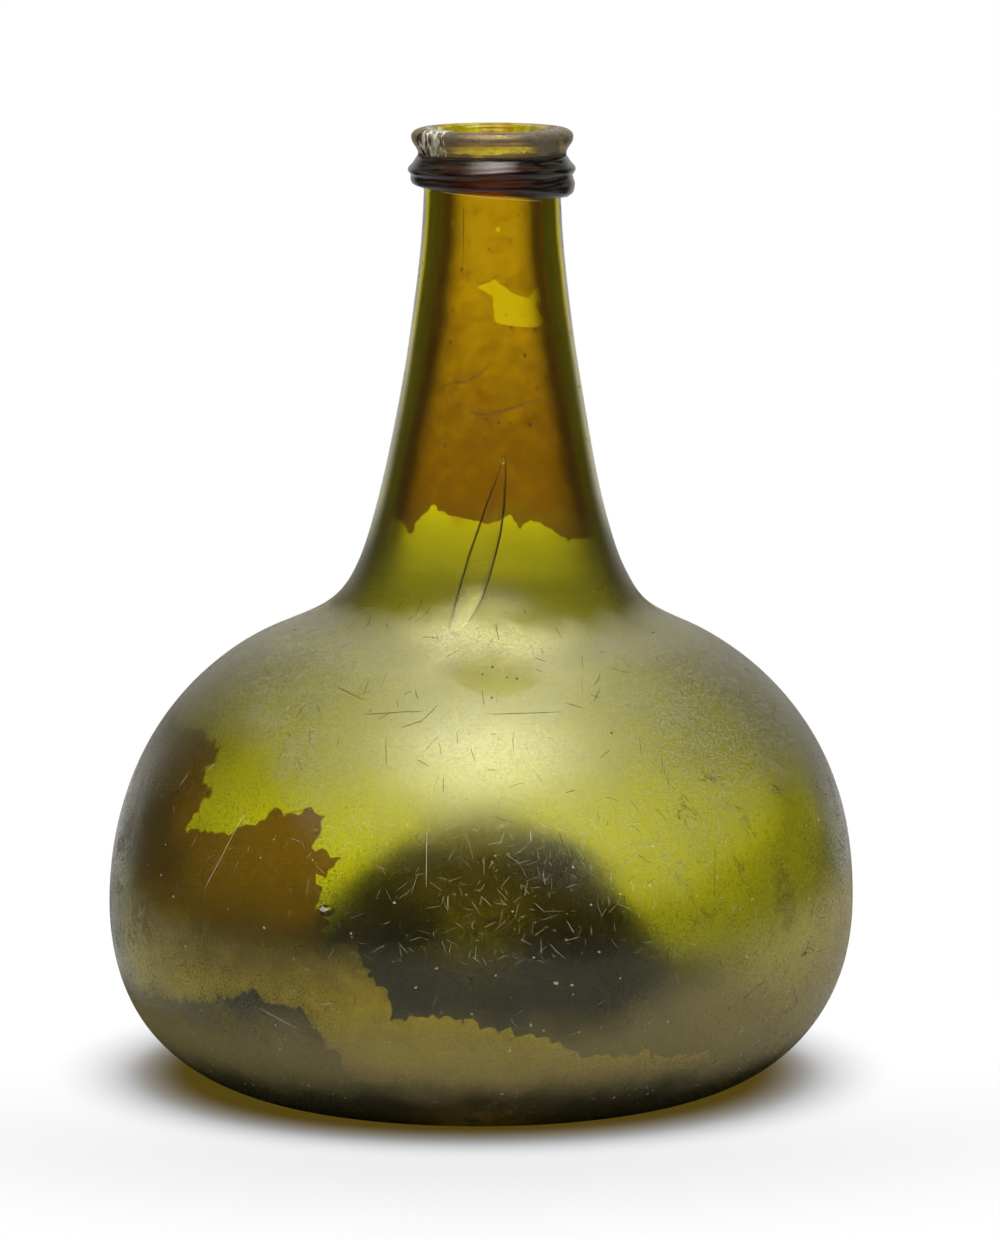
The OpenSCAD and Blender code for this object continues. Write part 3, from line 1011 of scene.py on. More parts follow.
# Dried films: outlines in degrees from the front and mm of height, torn along their edges. The scale lays a
# degree out in mm; rough and step are the tear's, and some of its points stand out as spikes
torn = {"spike": 2.4, "share": 0.3}
bodyFilm = {
    "outline": [
        (-118, 62), (-108, 70), (-94, 73), (-80, 71.5), (-64, 72), (-55, 70.8), (-55.4, 64.7),
        (-51.5, 62.9), (-55.4, 55.8), (-47.5, 56.2), (-43.5, 57.1), (-38.7, 59.7), (-36.6, 62.1),
        (-33.4, 61.6), (-30.5, 62.7), (-26.5, 61.8), (-27.9, 56.2), (-22.3, 54.8), (-26.3, 49.8),
        (-24.6, 45.1), (-23.5, 38.1), (-19.3, 40.4), (-17.4, 33.3), (-14.1, 31), (-14.2, 25), (-9, 26.2),
        (-4.7, 26.4), (-2.7, 24.4), (-1.1, 26), (2.8, 23.2), (9.8, 22.2), (16.5, 17.7), (26.8, 17.3),
        (39.3, 16), (46, 13), (30, 10), (0, 9), (-16, 10), (-22.3, 12.6), (-23, 17.1), (-26.2, 22.5),
        (-28.1, 25.7), (-35.9, 27.8), (-36.6, 29), (-48, 24.5), (-70, 23), (-96, 22), (-116, 31),
    ],
    "scale": 1.2,
    "spacing": 2.6,
    "rough": 0.7,
    "step": 1.1,
    "lift": 0.06,
    "thick": 0.15,
    "seed": 11,
}
neckFilm = {
    "lower": [
        (-180, 110), (-160, 107), (-142, 112), (-120, 108.5), (-96, 113), (-80, 109), (-64.8, 112.2),
        (-53.8, 110.7), (-46.1, 109), (-41.6, 112.4), (-33.5, 115), (-22.7, 113), (-11.8, 112.6),
        (-0.3, 111.7), (11.4, 113.5), (16.7, 110.6), (23.2, 112.4), (32.1, 110.7), (41.2, 108.6),
        (48.4, 108), (62.2, 107.5), (84, 111), (104, 107.5), (126, 112), (150, 109), (168, 112), (180, 110),
    ],
    "upper": [
        (180, 181), (152, 179.5), (124, 182.6), (92, 178), (64, 180.4), (46, 182.8), (22, 183.2), (-6, 182.2),
        (-18, 178), (-44, 176.4), (-58, 180.6), (-88, 182.8), (-122, 179), (-150, 182.4), (-180, 181),
    ],
    "window": [
        (-13.1, 156.4), (2.5, 157.9), (20, 155), (34.7, 154), (45.9, 156.5), (49.8, 153.6), (41.2, 152.7),
        (52.1, 149.1), (40, 148.4), (14.9, 149), (3.1, 149.8), (0.5, 154.7),
    ],
    "windowRough": 0.1,
    "spots": [(-42.4, 168.4, 0.7, 0.7), (5.8, 167.4, 0.6, 0.6)],
    "spotRing": {"count": 9, "reach": (0.6, 1.1)},
    "spotRough": 0.05,
    "flakes": [(-28, 181.6, 2.2, 1.5), (76, 182, 2.0, 1.2), (-136, 181.6, 1.6, 1.4), (150, 182.2, 1.8, 1.0)],
    "flakeRing": {"count": 10, "reach": (0.6, 1.05)},
    "flakeRough": 0.06,
    "scale": 0.22,
    "spacing": 1.4,
    "rough": 0.27,
    "step": 0.6,
    "fineStep": 0.5,
    "lift": 0.06,
    "thick": 0.12,
    "seed": 5,
}


def tornEdge(points, film, draw, rough, step, closed=True):
    scale = film["scale"]
    ends = points[1:] + points[:1] if closed else points[1:]
    line = []
    for (az0, z0), (az1, z1) in zip(points, ends):
        a, b = Vector((az0 * scale, z0)), Vector((az1 * scale, z1))
        count = max(1, round((b - a).length / step))
        square = Vector((a.y - b.y, b.x - a.x)).normalized()
        line.append(a)
        for i in range(1, count):
            bend = rough * draw.uniform(-1, 1) * (torn["spike"] if draw.random() < torn["share"] else 1)
            line.append(a.lerp(b, i / count) + square * bend)
    return line if closed else line + [Vector((points[-1][0] * scale, points[-1][1]))]


def inLoop(spot, loop):
    inside = False
    for last, here in zip(loop[-1:] + loop, loop):
        if (here.y > spot.y) != (last.y > spot.y):
            crossing = here.x + (spot.y - here.y) / (last.y - here.y) * (last.x - here.x)
            if spot.x < crossing:
                inside = not inside
    return inside


# Points inside the edge stand in rows, each a half step from the last
def filmSheet(edge, holes, film, shape):
    points, edges = [], []
    for loop in [edge] + holes:
        start = len(points)
        points += loop
        edges += [(start + i, start + (i + 1) % len(loop)) for i in range(len(loop))]
    lowX, highX = min(p.x for p in points), max(p.x for p in points)
    lowY, highY = min(p.y for p in points), max(p.y for p in points)
    spacing = film["spacing"]
    row = 0
    y = lowY + spacing / 2
    while y < highY:
        x = lowX + spacing * (0.5 if row % 2 else 0)
        while x < highX:
            points.append(Vector((x, y)))
            x += spacing
        y += spacing * 0.87
        row += 1
    spots, _, triangles, *_ = geometry.delaunay_2d_cdt(points, edges, [], 0, 1e-4)
    kept = []
    for triangle in triangles:
        middle = sum((spots[i] for i in triangle), Vector((0, 0))) / 3
        if inLoop(middle, edge) and not any(inLoop(middle, hole) for hole in holes):
            kept.append(tuple(triangle))
    outer, inner = {}, {}
    for i in sorted({i for triangle in kept for i in triangle}):
        az, z = spots[i].x / film["scale"], spots[i].y
        lifts = -film["lift"], -film["lift"] - film["thick"]
        outer[i], inner[i] = addRow(shape, [onWall(az, z, lift, inside=True) for lift in lifts])
    sides = {}
    for a, b, c in kept:
        shape[1].append((outer[a], outer[b], outer[c]))
        shape[1].append((inner[c], inner[b], inner[a]))
        sides.update({(a, b): True, (b, c): True, (c, a): True})
    for p, q in sides:
        if (q, p) not in sides:
            shape[1].append((outer[q], outer[p], inner[p], inner[q]))


def spreadBodyFilm():
    f = bodyFilm
    shape = [], []
    edge = tornEdge(f["outline"], f, random.Random(f["seed"]), f["rough"], f["step"])
    filmSheet(edge, [], f, shape)
    return shape


def raggedRing(az, z, halfW, halfH, draw, count, reach):
    ring = []
    for t in evenTurns(count):
        across = halfW * draw.uniform(*reach) * math.cos(t)
        ring.append((az + across / neckFilm["scale"], z + halfH * draw.uniform(*reach) * math.sin(t)))
    return ring


def spreadNeckFilm():
    f = neckFilm
    draw = random.Random(f["seed"])
    shape = [], []
    edge = tornEdge(f["lower"], f, draw, f["rough"], f["step"], closed=False)
    edge += tornEdge(f["upper"], f, draw, f["rough"], f["step"], closed=False)
    holes = [tornEdge(f["window"], f, draw, f["windowRough"], f["fineStep"])]
    for spot in f["spots"]:
        ring = raggedRing(*spot, draw, **f["spotRing"])
        holes.append(tornEdge(ring, f, draw, f["spotRough"], f["fineStep"]))
    filmSheet(edge, holes, f, shape)
    for flake in f["flakes"]:
        ring = raggedRing(*flake, draw, **f["flakeRing"])
        filmSheet(tornEdge(ring, f, draw, f["flakeRough"], f["fineStep"]), [], f, shape)
    return shape


# Dark sediment lying thin on the crown and sides of the kick and in the channel behind, and a patch of dregs
sediment = {
    "lift": 0.06,
    "clear": (0.7, 0.65, 0.3, 1),
    "dark": (0.24, 0.215, 0.06, 1),
    "none": (1.0, 1.0, 1.0, 1.0),
    "patch": {"noise": (75.0, 9.0, 0.72), "limits": (0.36, 0.64), "soft": False},
    "crownZ": (46, 51),
    "crownShare": 0.25,
    "channelTop": 26,
    "channelAz": (50, 100),
    "segments": 96,
    "dregs": [
        (-22.3, 9.4), (-23, 17.1), (-26.2, 22.5), (-28.1, 25.7), (-35.9, 27.8), (-36.6, 30), (-42, 28.6),
        (-51, 25.4), (-64, 24.6), (-78, 20), (-84, 9.4),
    ],
    "dregsLift": 0.34,
    "dregsThick": 0.1,
}


def sedimentMaterial():
    material, desk = newMaterial("sedimentLook")
    where, *_ = desk.where()
    tint = desk.blend(desk.mottle(where, **sediment["patch"]), sediment["clear"], sediment["dark"])
    depth = desk.add("Attribute", attribute_name="settled").outputs["Fac"]
    desk.show(desk.add("BsdfTransparent", Color=desk.blend(depth, sediment["none"], tint)))
    return material


def settleSediment():
    s = sediment
    onKick = innerSide["kick"]
    run = joinRuns(onKick, [p for p in innerSide["heel"] if p[1] < s["channelTop"]])
    ways = evenTurns(s["segments"])
    shape, levels = ([], []), [s["crownShare"]]
    rows = [addRow(shape, [place(0, 0, run[0][1] + s["lift"])]) * len(ways)]
    for i in range(1, len(run)):
        rows.append(addRow(shape, [liftedSpot(run, i, az, -s["lift"], inside=True) for az in ways]))
        z = run[i][1]
        for az in ways:
            if i < len(onKick):
                levels.append(1 - (1 - s["crownShare"]) * ease(z, *s["crownZ"]))
            else:
                behind = ease(abs((math.degrees(az) + 180) % 360 - 180), *s["channelAz"])
                levels.append(behind * (1 - ease(z, bottle["channel"][1], s["channelTop"])))
    stitch(rows, shape, flip=True)
    f = dict(bodyFilm, lift=s["dregsLift"], thick=s["dregsThick"])
    filmSheet(tornEdge(s["dregs"], f, random.Random(f["seed"]), f["rough"], f["step"]), [], f, shape)
    return shape, levels + [1.0] * (len(shape[0]) - len(levels))


sedimentShape, settledShare = settleSediment()
kickSediment = makeObject("kickSediment", sedimentShape, sedimentMaterial())
kickSediment.data.attributes.new("settled", "FLOAT", "POINT").data.foreach_set("value", settledShare)

bodyResidue = makeObject("bodyResidue", spreadBodyFilm(), filmMaterial("bodyFilmLook", bodyFilmFinish))
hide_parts("body_residue")
neckResidue = makeObject("neckResidue", spreadNeckFilm(), filmMaterial("neckFilmLook", neckFilmFinish))
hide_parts("neck_residue")
print("films spread")


def wrapSkin():
    shape, rows = ([], []), []
    for i in range(len(outerFlank)):
        rows.append(addRow(shape, [liftedSpot(outerFlank, i, az, skin["lift"]) for az in turns]))
    stitch(rows, shape)
    return shape


surfaceWearAndShading = makeObject("surfaceWearAndShading", wrapSkin(), skinMaterial())

# Marks scratched, rubbed or dried on the skin: degrees from the front and mm of height, sizes in mm.
# The lines, flecks and pits listed are in their places, and the rest are scattered. Some are painted
# light: a pale highlight under the rim, and dark shade on the tear's and blister's edges and under the lip
scratches = {
    "pale": [
        [(-40.9, 61.5), (-43.8, 52.7), (-46.4, 46.5)],
        [(-52.1, 69), (-52.8, 67.6)],
        [(-58.2, 66.3), (-59.4, 63.7)],
        [(-8.6, 61.2), (-8.2, 50.8)],
        [(-4.9, 49.5), (-4.9, 47.2)],
        [(7.5, 61.1), (7.6, 58.8)],
        [(-35.8, 26), (-28.5, 22.4)],
        [(-24.8, 27.8), (-22, 28.3)],
        # A pale highlight painted round the neck just under the rim
        [(-48, 174.5), (-20, 174.0), (12, 173.3), (46, 172.7)],
    ],
    "dark": [
        [(-34.5, 84.2), (-24.5, 82.1)],
        [(-24.2, 79.9), (-15.9, 80.7), (-12.1, 80.9)],
        [(-15.6, 78.1), (-11.7, 79.4), (-9.1, 82)],
        [(-17.9, 76.4), (-16.5, 71.2)],
        [(-6.6, 70.3), (-6.4, 67.4)],
        [(0.4, 80.6), (15.9, 80.7)],
        [(17.3, 82.1), (20.9, 81)],
        [(26.4, 84.1), (23.5, 82)],
        [(2.8, 94.4), (4, 91.8)],
        [(-14.8, 84.2), (-13.5, 82.7)],
        [(38.6, 55.9), (37.1, 46.4)],
        [(49.2, 40.5), (49.1, 36.2)],
        [(41, 24.4), (53.6, 32.2)],
        [(56, 26.5), (59.4, 21.8), (55.4, 20.6)],
    ],
    "brushed": [
        [(-24.2, 172.2), (-23, 161.7)],
        [(-34, 137.2), (-28.6, 138.4), (-18, 138.6), (-8, 140.2), (0, 142.6)],
        [(27, 132.6), (27.4, 131.4)],
    ],
    "rubbed": [
        [(-14, 133.2), (-4, 132.8), (8, 133.4), (30, 135.4)],
        [(-46, 133.6), (-38, 131.4)],
    ],
    "smears": [
        [(43.7, 62.3), (47.8, 55.9)],
        [(42.7, 53.5), (43.3, 49.2)],
        [(33.1, 64.6), (35, 61.8)],
        [(39.4, 68.2), (42.1, 67.2)],
        [(54.9, 65.1), (57.2, 62.9)],
        [(57.3, 31.7), (60, 32.9)],
    ],
    "flecks": [
        (11.1, 32.9, 0.5), (13.5, 32.4, 0.35), (17.6, 38.4, 0.3), (-6.4, 35.9, 0.3), (7.6, 24.9, 0.35),
        (4.6, 19.9, 0.4),
    ],
    "fleckFlat": 0.6,
    "pits": [
        (2.2, 87.9, 0.24), (-0.2, 86.8, 0.2), (5.6, 86.3, 0.2), (7.8, 86.1, 0.26), (1.9, 83.2, 0.24),
        (24.6, 76.8, 0.26), (4.4, 131.2, 0.34),
    ],
    "pitFlat": 0.8,
    "specks": {
        "count": 340, "size": (0.06, 0.24), "sizeLean": 2.5, "z": (8, 58), "zLean": 1.5, "long": (1, 1.8),
        "tilt": 0.4,
    },
    "neckPits": {"count": 260, "size": (0.12, 0.3), "sizeLean": 2, "z": (118, 172), "tall": 1.3},
    "kickStrokes": {
        "count": 340, "az": (2, 16), "z": (36, 62), "length": (0.5, 3.5), "lean": 2, "bend": 0.15,
        "width": (0.3, 0.65),
    },
    "paleStrokes": {
        "count": 420, "z": (8, 60), "length": (0.4, 2.6), "lean": 1, "bend": 0.3, "width": (0.3, 0.8),
    },
    "darkStrokes": {
        "count": 560, "z": (18, 96), "length": (0.5, 3.5), "lean": 1, "bend": 0.5, "width": (0.7, 1.5),
    },
    "smearStrokes": {
        "count": 20, "spread": 0.7, "turn": 0.4, "length": (0.6, 2.2), "bend": 0.4, "width": (0.12, 0.34),
    },
    "headings": (0, 3.1),
    "width": 0.085,
    "paleBold": 1.5,
    "darkBold": 1.6,
    "brushedBold": 2,
    # The dark ring painted round the blister as its shaded edge
    "blisterShadeBold": 2.4,
    "rubWide": 0.6,
    "tipShare": 0.25,
    # A dark ring painted in the crevice under the lip as its shade
    "creviceShadeZ": 181.1,
    "creviceShade": 0.5,
    "lift": 0.06,
    "bits": 4,
    "bends": 6,
    "corners": 8,
    "seed": 23,
}


def wallSpot(az, z, halfW, halfH, tilt, shape):
    r = radiusAt(z)
    spots = []
    for turn in evenTurns(scratches["corners"]):
        across, rise = halfW * math.cos(turn), halfH * math.sin(turn)
        side = across * math.cos(tilt) - rise * math.sin(tilt)
        upward = across * math.sin(tilt) + rise * math.cos(tilt)
        spots.append(onWall(az + math.degrees(side / r), z + upward, scratches["lift"]))
    shape[1].append(tuple(addRow(shape, spots)))


def scratchRibbon(points, width, shape):
    rows = []
    last = len(points) - 1
    for i, (az, z) in enumerate(points):
        near, far = points[max(i - 1, 0)], points[min(i + 1, last)]
        r = radiusAt(z)
        run = Vector((math.radians(far[0] - near[0]) * r, far[1] - near[1])).normalized()
        half = width / 2 * (scratches["tipShare"] if i in (0, last) else 1)
        spots = []
        for side in (-half, half):
            spots.append(onWall(az + math.degrees(-run.y * side / r), z + run.x * side, scratches["lift"]))
        rows.append(addRow(shape, spots))
    stitch(rows, shape, around=False, flip=True)


def scoreLines(lines, width, shape):
    bits = scratches["bits"]
    for line in lines:
        points = []
        for (az0, z0), (az1, z1) in zip(line, line[1:]):
            points += [(az0 + (az1 - az0) * t / bits, z0 + (z1 - z0) * t / bits) for t in range(bits)]
        scratchRibbon(points + [line[-1]], width, shape)


def bentLine(az, z, heading, length, bend):
    r = radiusAt(z)
    points = [(az, z)]
    bends = scratches["bends"]
    for _ in range(bends):
        az += math.degrees(math.cos(heading) * length / bends / r)
        z += math.sin(heading) * length / bends
        heading += bend / bends
        points.append((az, z))
    return points


def scatterStrokes(kind, draw, shape):
    for _ in range(kind["count"]):
        az = draw.gauss(*kind["az"]) if "az" in kind else draw.uniform(-180, 180)
        z = draw.uniform(*kind["z"])
        heading = draw.uniform(*scratches["headings"])
        length = skewed(draw, kind["length"], kind["lean"])
        line = bentLine(az, z, heading, length, draw.uniform(-kind["bend"], kind["bend"]))
        scratchRibbon(line, scratches["width"] * draw.uniform(*kind["width"]), shape)


def scoreScratchesAndHighlights():
    s = scratches
    draw = random.Random(s["seed"])
    shape = [], []
    scoreLines(s["pale"], s["width"] * s["paleBold"], shape)
    for az, z, size in s["flecks"]:
        wallSpot(az, z, size, size * s["fleckFlat"], draw.uniform(*s["headings"]), shape)
    speck = s["specks"]
    for _ in range(speck["count"]):
        size = skewed(draw, speck["size"], speck["sizeLean"])
        z = skewed(draw, speck["z"], speck["zLean"])
        az, long = draw.uniform(-180, 180), draw.uniform(*speck["long"])
        wallSpot(az, z, size * long, size, draw.gauss(0, speck["tilt"]), shape)
    scatterStrokes(s["kickStrokes"], draw, shape)
    scatterStrokes(s["paleStrokes"], draw, shape)
    # A pale spot painted over the blister as its highlight
    (az, z), (wide, tall) = shifted((blister["az"], blister["z"]), blister["paintedGlintAt"]), blister["paintedGlint"]
    wallSpot(az, z, blister["half"][0] * wide, blister["half"][1] * tall, 0, shape)
    return shape


def scoreDark():
    s = scratches
    draw = random.Random(s["seed"] + 1)
    shape = [], []
    # Dark lines painted along the tear's edges as their shade
    scratchRibbon([(left, z) for left, _, z in tearEdges[1:]], s["width"], shape)
    scratchRibbon([(right, z) for _, right, z in tearEdges[1:]], s["width"], shape)
    scoreLines(s["brushed"], s["width"] * s["brushedBold"], shape)
    scoreLines(s["dark"], s["width"] * s["darkBold"], shape)
    for az, z, size in s["pits"]:
        wallSpot(az, z, size, size * s["pitFlat"], 0, shape)
    pit = s["neckPits"]
    for _ in range(pit["count"]):
        size = skewed(draw, pit["size"], pit["sizeLean"])
        wallSpot(draw.uniform(-180, 180), draw.uniform(*pit["z"]), size, size * pit["tall"], 0, shape)
    scatterStrokes(s["darkStrokes"], draw, shape)
    # A dark ring painted round the blister as its shaded edge
    halfW, halfH, _ = blister["half"]
    outline = []
    for turn in evenTurns(blister["corners"]) + [2 * math.pi]:
        across = math.degrees(halfW * math.cos(turn) / radiusAt(blister["z"]))
        outline.append((blister["az"] + across, blister["z"] + halfH * math.sin(turn)))
    scratchRibbon(outline, s["width"] * s["blisterShadeBold"], shape)
    # Painted shade in the crevice under the lip
    scratchRibbon([(az, s["creviceShadeZ"]) for az in range(-180, 181, 5)], s["creviceShade"], shape)
    return shape


def rubSmears():
    draw = random.Random(scratches["seed"] + 2)
    shape = [], []
    scoreLines(scratches["rubbed"], scratches["rubWide"], shape)
    stroke = scratches["smearStrokes"]
    for (az0, z0), (az1, z1) in scratches["smears"]:
        r = radiusAt(z0)
        along = math.atan2(z1 - z0, math.radians(az1 - az0) * r)
        for _ in range(stroke["count"]):
            share = draw.random()
            az = az0 + share * (az1 - az0) + math.degrees(draw.gauss(0, stroke["spread"]) / r)
            z = z0 + share * (z1 - z0) + draw.gauss(0, stroke["spread"])
            heading = along + draw.gauss(0, stroke["turn"])
            length = draw.uniform(*stroke["length"])
            line = bentLine(az, z, heading, length, draw.uniform(-stroke["bend"], stroke["bend"]))
            scratchRibbon(line, draw.uniform(*stroke["width"]), shape)
    return shape


grimeAndShadeLines = makeObject("grimeAndShadeLines", scoreDark(), markMaterial("grimeAndShadeLook"))
scratchAndHighlightMarks = makeObject("scratchAndHighlightMarks", scoreScratchesAndHighlights(), markMaterial("scratchAndHighlightLook"))
rubMarks = makeObject("rubMarks", rubSmears(), markMaterial("smearLook"))
print("wear laid on")

# The stained and dulled coat on the lip: brown on the left, frosted on the right
lipWear = {
    "lift": 0.03,
    "clear": (1.0, 0.97, 0.82, 1),
    "stain": (0.86, 0.7, 0.38, 1),
    "stains": {"noise": (150.0, 4.0, 0.65), "limits": (0.42, 0.58)},
    "brown": (0.17, 0.135, 0.075, 1),
    "frost": (0.16, 0.135, 0.095, 1),
    "rough": 0.42,
    "patch": {"noise": (300.0, 6.0, 0.65), "limits": (0.3, 0.7), "reach": (0.45, 1.4), "soft": False},
    "crestZ": (0.1832, 0.1852),
    "rightX": (0.003, 0.013),
    "crestCover": 0.5,
    "mouthCover": 0.03,
    "flareCover": 0.45,
    "rightCover": 0.45,
}


def lipWearMaterial(name, crestCover):
    material, desk = newMaterial(name)
    where, x, _, z = desk.where()
    stained = desk.blend(desk.mottle(where, **lipWear["stains"]), lipWear["clear"], lipWear["stain"])
    right = desk.ramp(x, lipWear["rightX"])
    coat = desk.coat(desk.blend(right, lipWear["brown"], lipWear["frost"]), 1.0, lipWear["rough"])
    crest = desk.ramp(z, lipWear["crestZ"], (min(lipWear["flareCover"], crestCover), crestCover))
    both = desk.sums("MAXIMUM", crest, desk.ramp(right, (0.0, 1.0), (0.0, lipWear["rightCover"])))
    cover = desk.sums("MULTIPLY", both, desk.mottle(where, **lipWear["patch"]), clamp=True)
    desk.show(desk.lay(cover, desk.add("BsdfTransparent", Color=stained), coat))
    return material


# A sheet over the lip, either all round the chip or on its broken face alone
def lipSheet(run, lift, onChip=False, inside=False):
    (vertices, faces), rows, cuts = ([], []), [], []
    for i, (r, z) in enumerate(run):
        ring = [chipCut(r, az, z) for az in turns]
        spots = [liftedSpot(run, i, az, lift, inside, cut) for az, cut in zip(turns, ring)]
        rows.append(addRow((vertices, faces), spots))
        cuts += ring
    stitch(rows, (vertices, faces))
    kept = []
    for face in faces:
        deep = [cuts[i] for i in face]
        if min(deep) > 0 if onChip else max(deep) == 0:
            kept.append(face)
    used = sorted({i for face in kept for i in face})
    renamed = {index: i for i, index in enumerate(used)}
    return [vertices[i] for i in used], [tuple(renamed[i] for i in face) for face in kept]


# The broken face of the chip: pale streaks painted as the ridges' highlights, with painted shade between them
chipPaintedLight = {
    "pale": (0.9, 0.83, 0.66, 1),
    "dark": (0.1, 0.07, 0.035, 1),
    "draw": (1100, 1100, 130),
    "streaks": {"noise": (1.0, 3.0, 0.5, 0.6), "limits": (0.42, 0.6), "soft": False},
    "cover": 0.5,
    "rough": 0.3,
}


def chipPaintedLightMaterial():
    material, desk = newMaterial("chipPaintedLightLook")
    where, *_ = desk.where()
    crisp = desk.mottle(desk.drawnOut(where, chipPaintedLight["draw"]), **chipPaintedLight["streaks"])
    tone = desk.blend(crisp, chipPaintedLight["dark"], chipPaintedLight["pale"])
    desk.show(desk.coat(tone, chipPaintedLight["cover"], chipPaintedLight["rough"]))
    return material


lipRun = joinRuns(lipFlare, lipRoll)
lipLook = lipWearMaterial("lipWearLook", lipWear["crestCover"])
lipCoat = makeObject("lipCoat", lipSheet(lipRun, lipWear["lift"]), lipLook)
mouthLook = lipWearMaterial("mouthWearLook", lipWear["mouthCover"])
mouthCoat = makeObject("mouthCoat", lipSheet(lipMouth[1:], lipWear["lift"], inside=True), mouthLook)
chipFace = makeObject("chipFace", lipSheet(lipRun, chip["lift"], onChip=True), chipPaintedLightMaterial())
print("lip dulled and chipped")

# Stage, in m: white sweep, soft light from overhead. The floor's own colour is painted dark round the bottle
# as its shadow, darker and warm right under it and lighter far behind it. To the camera it fades to white
# round that painted shadow, faster behind than in front, and shows a painted contact shadow at its foot
stage = {
    "floorR": 0.34,
    "floorDrop": 0.0002,
    "floorSides": 96,
    "white": (1, 1, 1, 1),
    "shadedFloorColour": (0.3, 0.305, 0.32, 1),
    "farColour": (0.78, 0.785, 0.8, 1),
    "paintedShadowColour": (0.12, 0.095, 0.014, 1),
    "paintedShadowR": (0.058, 0.072),
    "farR": (0.1, 0.22),
    "farX": (0.015, 0.1),
    "farY": (-0.04, 0.05),
    "fadeCentre": (-0.003, 0.0105, 0.0),
    "fastFade": (0.0555, 0.0845),
    "slowFade": (0.085, 0.17),
    "slowY": (-0.1, 0.02),
    "slowShare": 0.27,
    "paintedContactTone": (0.095, 0.063, 0.008, 1),
    "paintedContactR": (0.062, 0.069),
    "paintedContactCover": 0.92,
    "frontBox": {"size": (1.0, 0.9), "place": (0.03, -0.48, 1.05), "power": 10.8},
    "backBox": {"size": (0.62, 0.5), "place": (0.03, 0.4, 1.05), "power": 3.6},
    "softSteps": (1.0, 0.72, 0.44),
    "softGap": 0.004,
}


def floorMaterial():
    material, desk = newMaterial("paleFloor")
    where, x, y, _ = desk.where()
    offset = desk.add("VectorMath", operation="SUBTRACT")
    desk.feed(offset.inputs[0], where)
    desk.feed(offset.inputs[1], stage["fadeCentre"])
    length = desk.add("VectorMath", operation="LENGTH")
    desk.feed(length.inputs[0], offset.outputs["Vector"])
    reach = length.outputs["Value"]
    # Painted shadow: the floor's colour is dark round the bottle, darker and warm under it, lighter far
    # behind it
    aside = desk.ramp(desk.sums("ABSOLUTE", x), stage["farX"], (1.0, 0.0))
    away = desk.times(aside, desk.ramp(reach, stage["farR"]), desk.ramp(y, stage["farY"]))
    lit = desk.blend(desk.ramp(reach, stage["paintedShadowR"]), stage["paintedShadowColour"], stage["shadedFloorColour"])
    matt = desk.add("BsdfDiffuse", Color=desk.blend(away, lit, stage["farColour"]))
    slow, fast = desk.ramp(reach, stage["slowFade"]), desk.ramp(reach, stage["fastFade"])
    lag = desk.times(desk.ramp(y, stage["slowY"], (stage["slowShare"], 0.0)), desk.less(fast, slow))
    seen = desk.add("LightPath").outputs["Is Camera Ray"]
    # For the camera, a dark warm glow at the foot is painted as the contact shadow, tinted like light through
    # the glass
    paintedContactShade = desk.add("Emission", Strength=1.0, Color=stage["paintedContactTone"])
    tint = desk.times(seen, desk.ramp(reach, stage["paintedContactR"], (stage["paintedContactCover"], 0.0)))
    glow = desk.add("Emission", Strength=1.0, Color=stage["white"])
    desk.show(desk.lay(desk.times(seen, desk.less(fast, lag)), desk.lay(tint, matt, paintedContactShade), glow))
    return material


# The studio round it, by direction: white to the camera, an even fill for matt faces, a dim room with a
# bright back for mirrored rays, and a backdrop that glows behind the bottle for rays through the glass
studio = {
    "white": 1.0,
    "fillY": (-0.2, 0.6),
    "fill": (0.9, 1.0),
    "mirrorY": (0.66, 0.9),
    "mirror": (0.03, 0.7),
    "glowX": (0.07, 0.3),
    "glow": (1.0, 0.08),
    "behindY": 0.5,
    "lowZ": (-0.22, -0.12),
    "low": (0.8, 1.0),
    "bounced": 0.5,
}


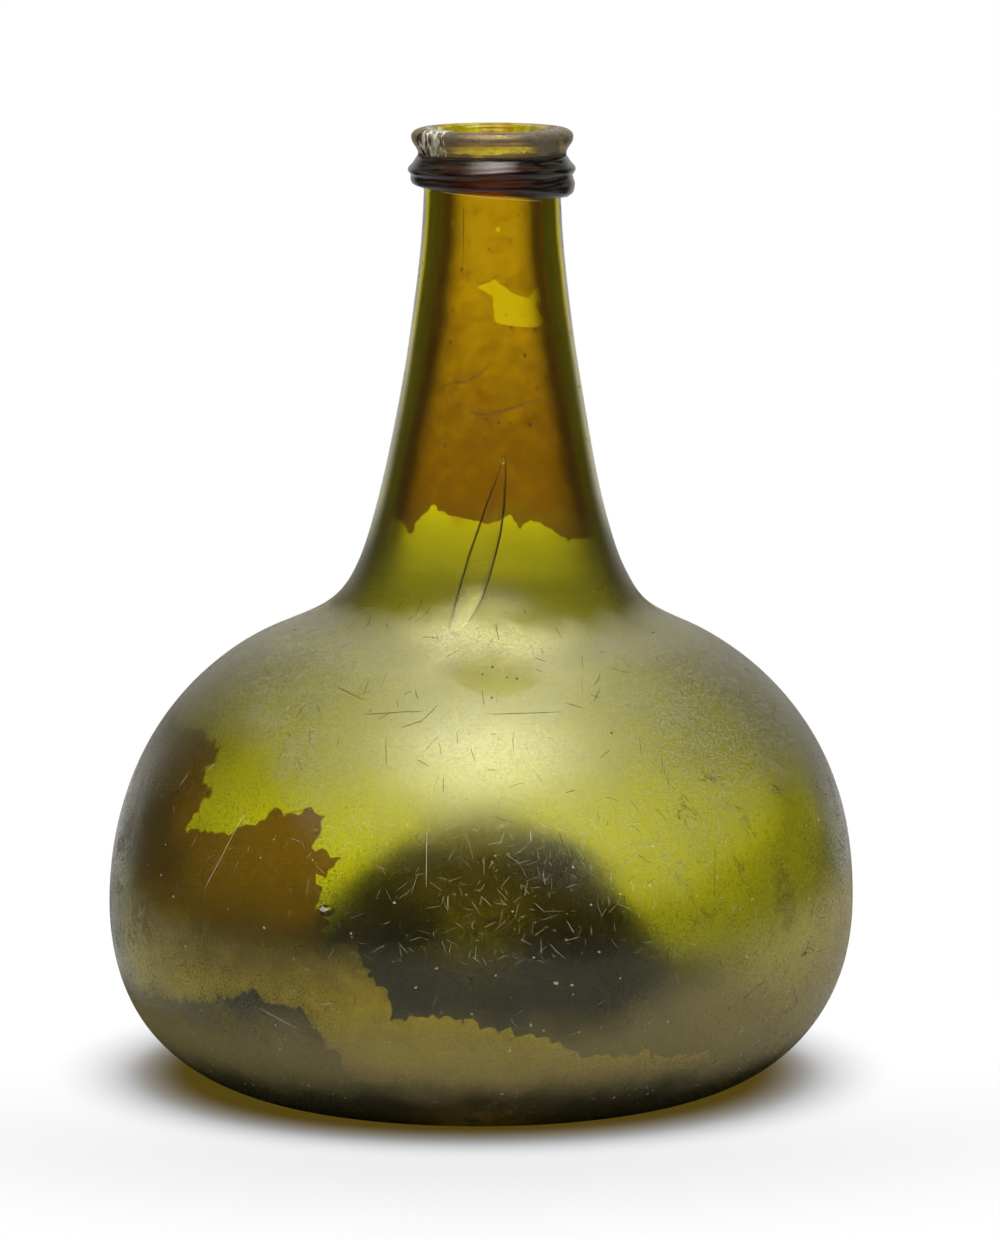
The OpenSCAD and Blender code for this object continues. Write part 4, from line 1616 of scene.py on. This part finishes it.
def setWorld():
    world = bpy.data.worlds.new("studio")
    scene.world = world
    world.use_nodes = True
    world.node_tree.nodes.clear()
    desk = shaderDesk(world.node_tree)
    path = desk.add("LightPath").outputs
    _, x, y, z = desk.where("Generated")
    glow = desk.ramp(desk.sums("ABSOLUTE", x), studio["glowX"], studio["glow"])
    behind = desk.sums("GREATER_THAN", y, studio["behindY"])
    shone = desk.times(behind, desk.ramp(z, studio["lowZ"], studio["low"], soft=False))
    backdrop = desk.mix(shone, studio["glow"][1], glow)
    mirror = desk.ramp(y, studio["mirrorY"], studio["mirror"])
    mirrored = desk.mix(path["Is Reflection Ray"], backdrop, mirror)
    soft = desk.sums("GREATER_THAN", path["Diffuse Depth"], studio["bounced"])
    level = desk.mix(soft, mirrored, desk.ramp(y, studio["fillY"], studio["fill"]))
    shown = desk.mix(path["Is Camera Ray"], level, studio["white"])
    sky = desk.add("Background", Color=stage["white"], Strength=shown)
    desk.add("OutputWorld", Surface=sky.outputs["Background"])
    world.cycles.sampling_method = "NONE"


# A softbox of stacked ellipses, brightest in its middle
def hangLamp(name, lamp):
    whole = sum(step**2 for step in stage["softSteps"])
    x, y, z = lamp["place"]
    for i, step in enumerate(stage["softSteps"]):
        data = bpy.data.lights.new(f"{name}{i}", "AREA")
        data.shape = "ELLIPSE"
        data.size, data.size_y = (step * side for side in lamp["size"])
        data.energy = lamp["power"] * step**2 / whole
        addObject(f"{name}{i}", data).location = (x, y, z + stage["softGap"] * i)


def setStage():
    radius, sides = stage["floorR"], stage["floorSides"]
    mesh = bpy.data.meshes.new("floor")
    edge = [(radius * math.cos(t), radius * math.sin(t), 0) for t in evenTurns(sides)]
    mesh.from_pydata(edge, [], [tuple(range(sides))])
    mesh.materials.append(floorMaterial())
    floor = addObject("floor", mesh)
    floor.location.z = -stage["floorDrop"]
    hangLamp("frontBox", stage["frontBox"])
    hangLamp("backBox", stage["backBox"])
    scene.cycles.max_bounces = 24
    scene.cycles.transmission_bounces = 20
    scene.cycles.transparent_max_bounces = 24
    scene.cycles.glossy_bounces = 8
    scene.view_settings.view_transform = "Standard"


setWorld()
setStage()
print("stage lit")
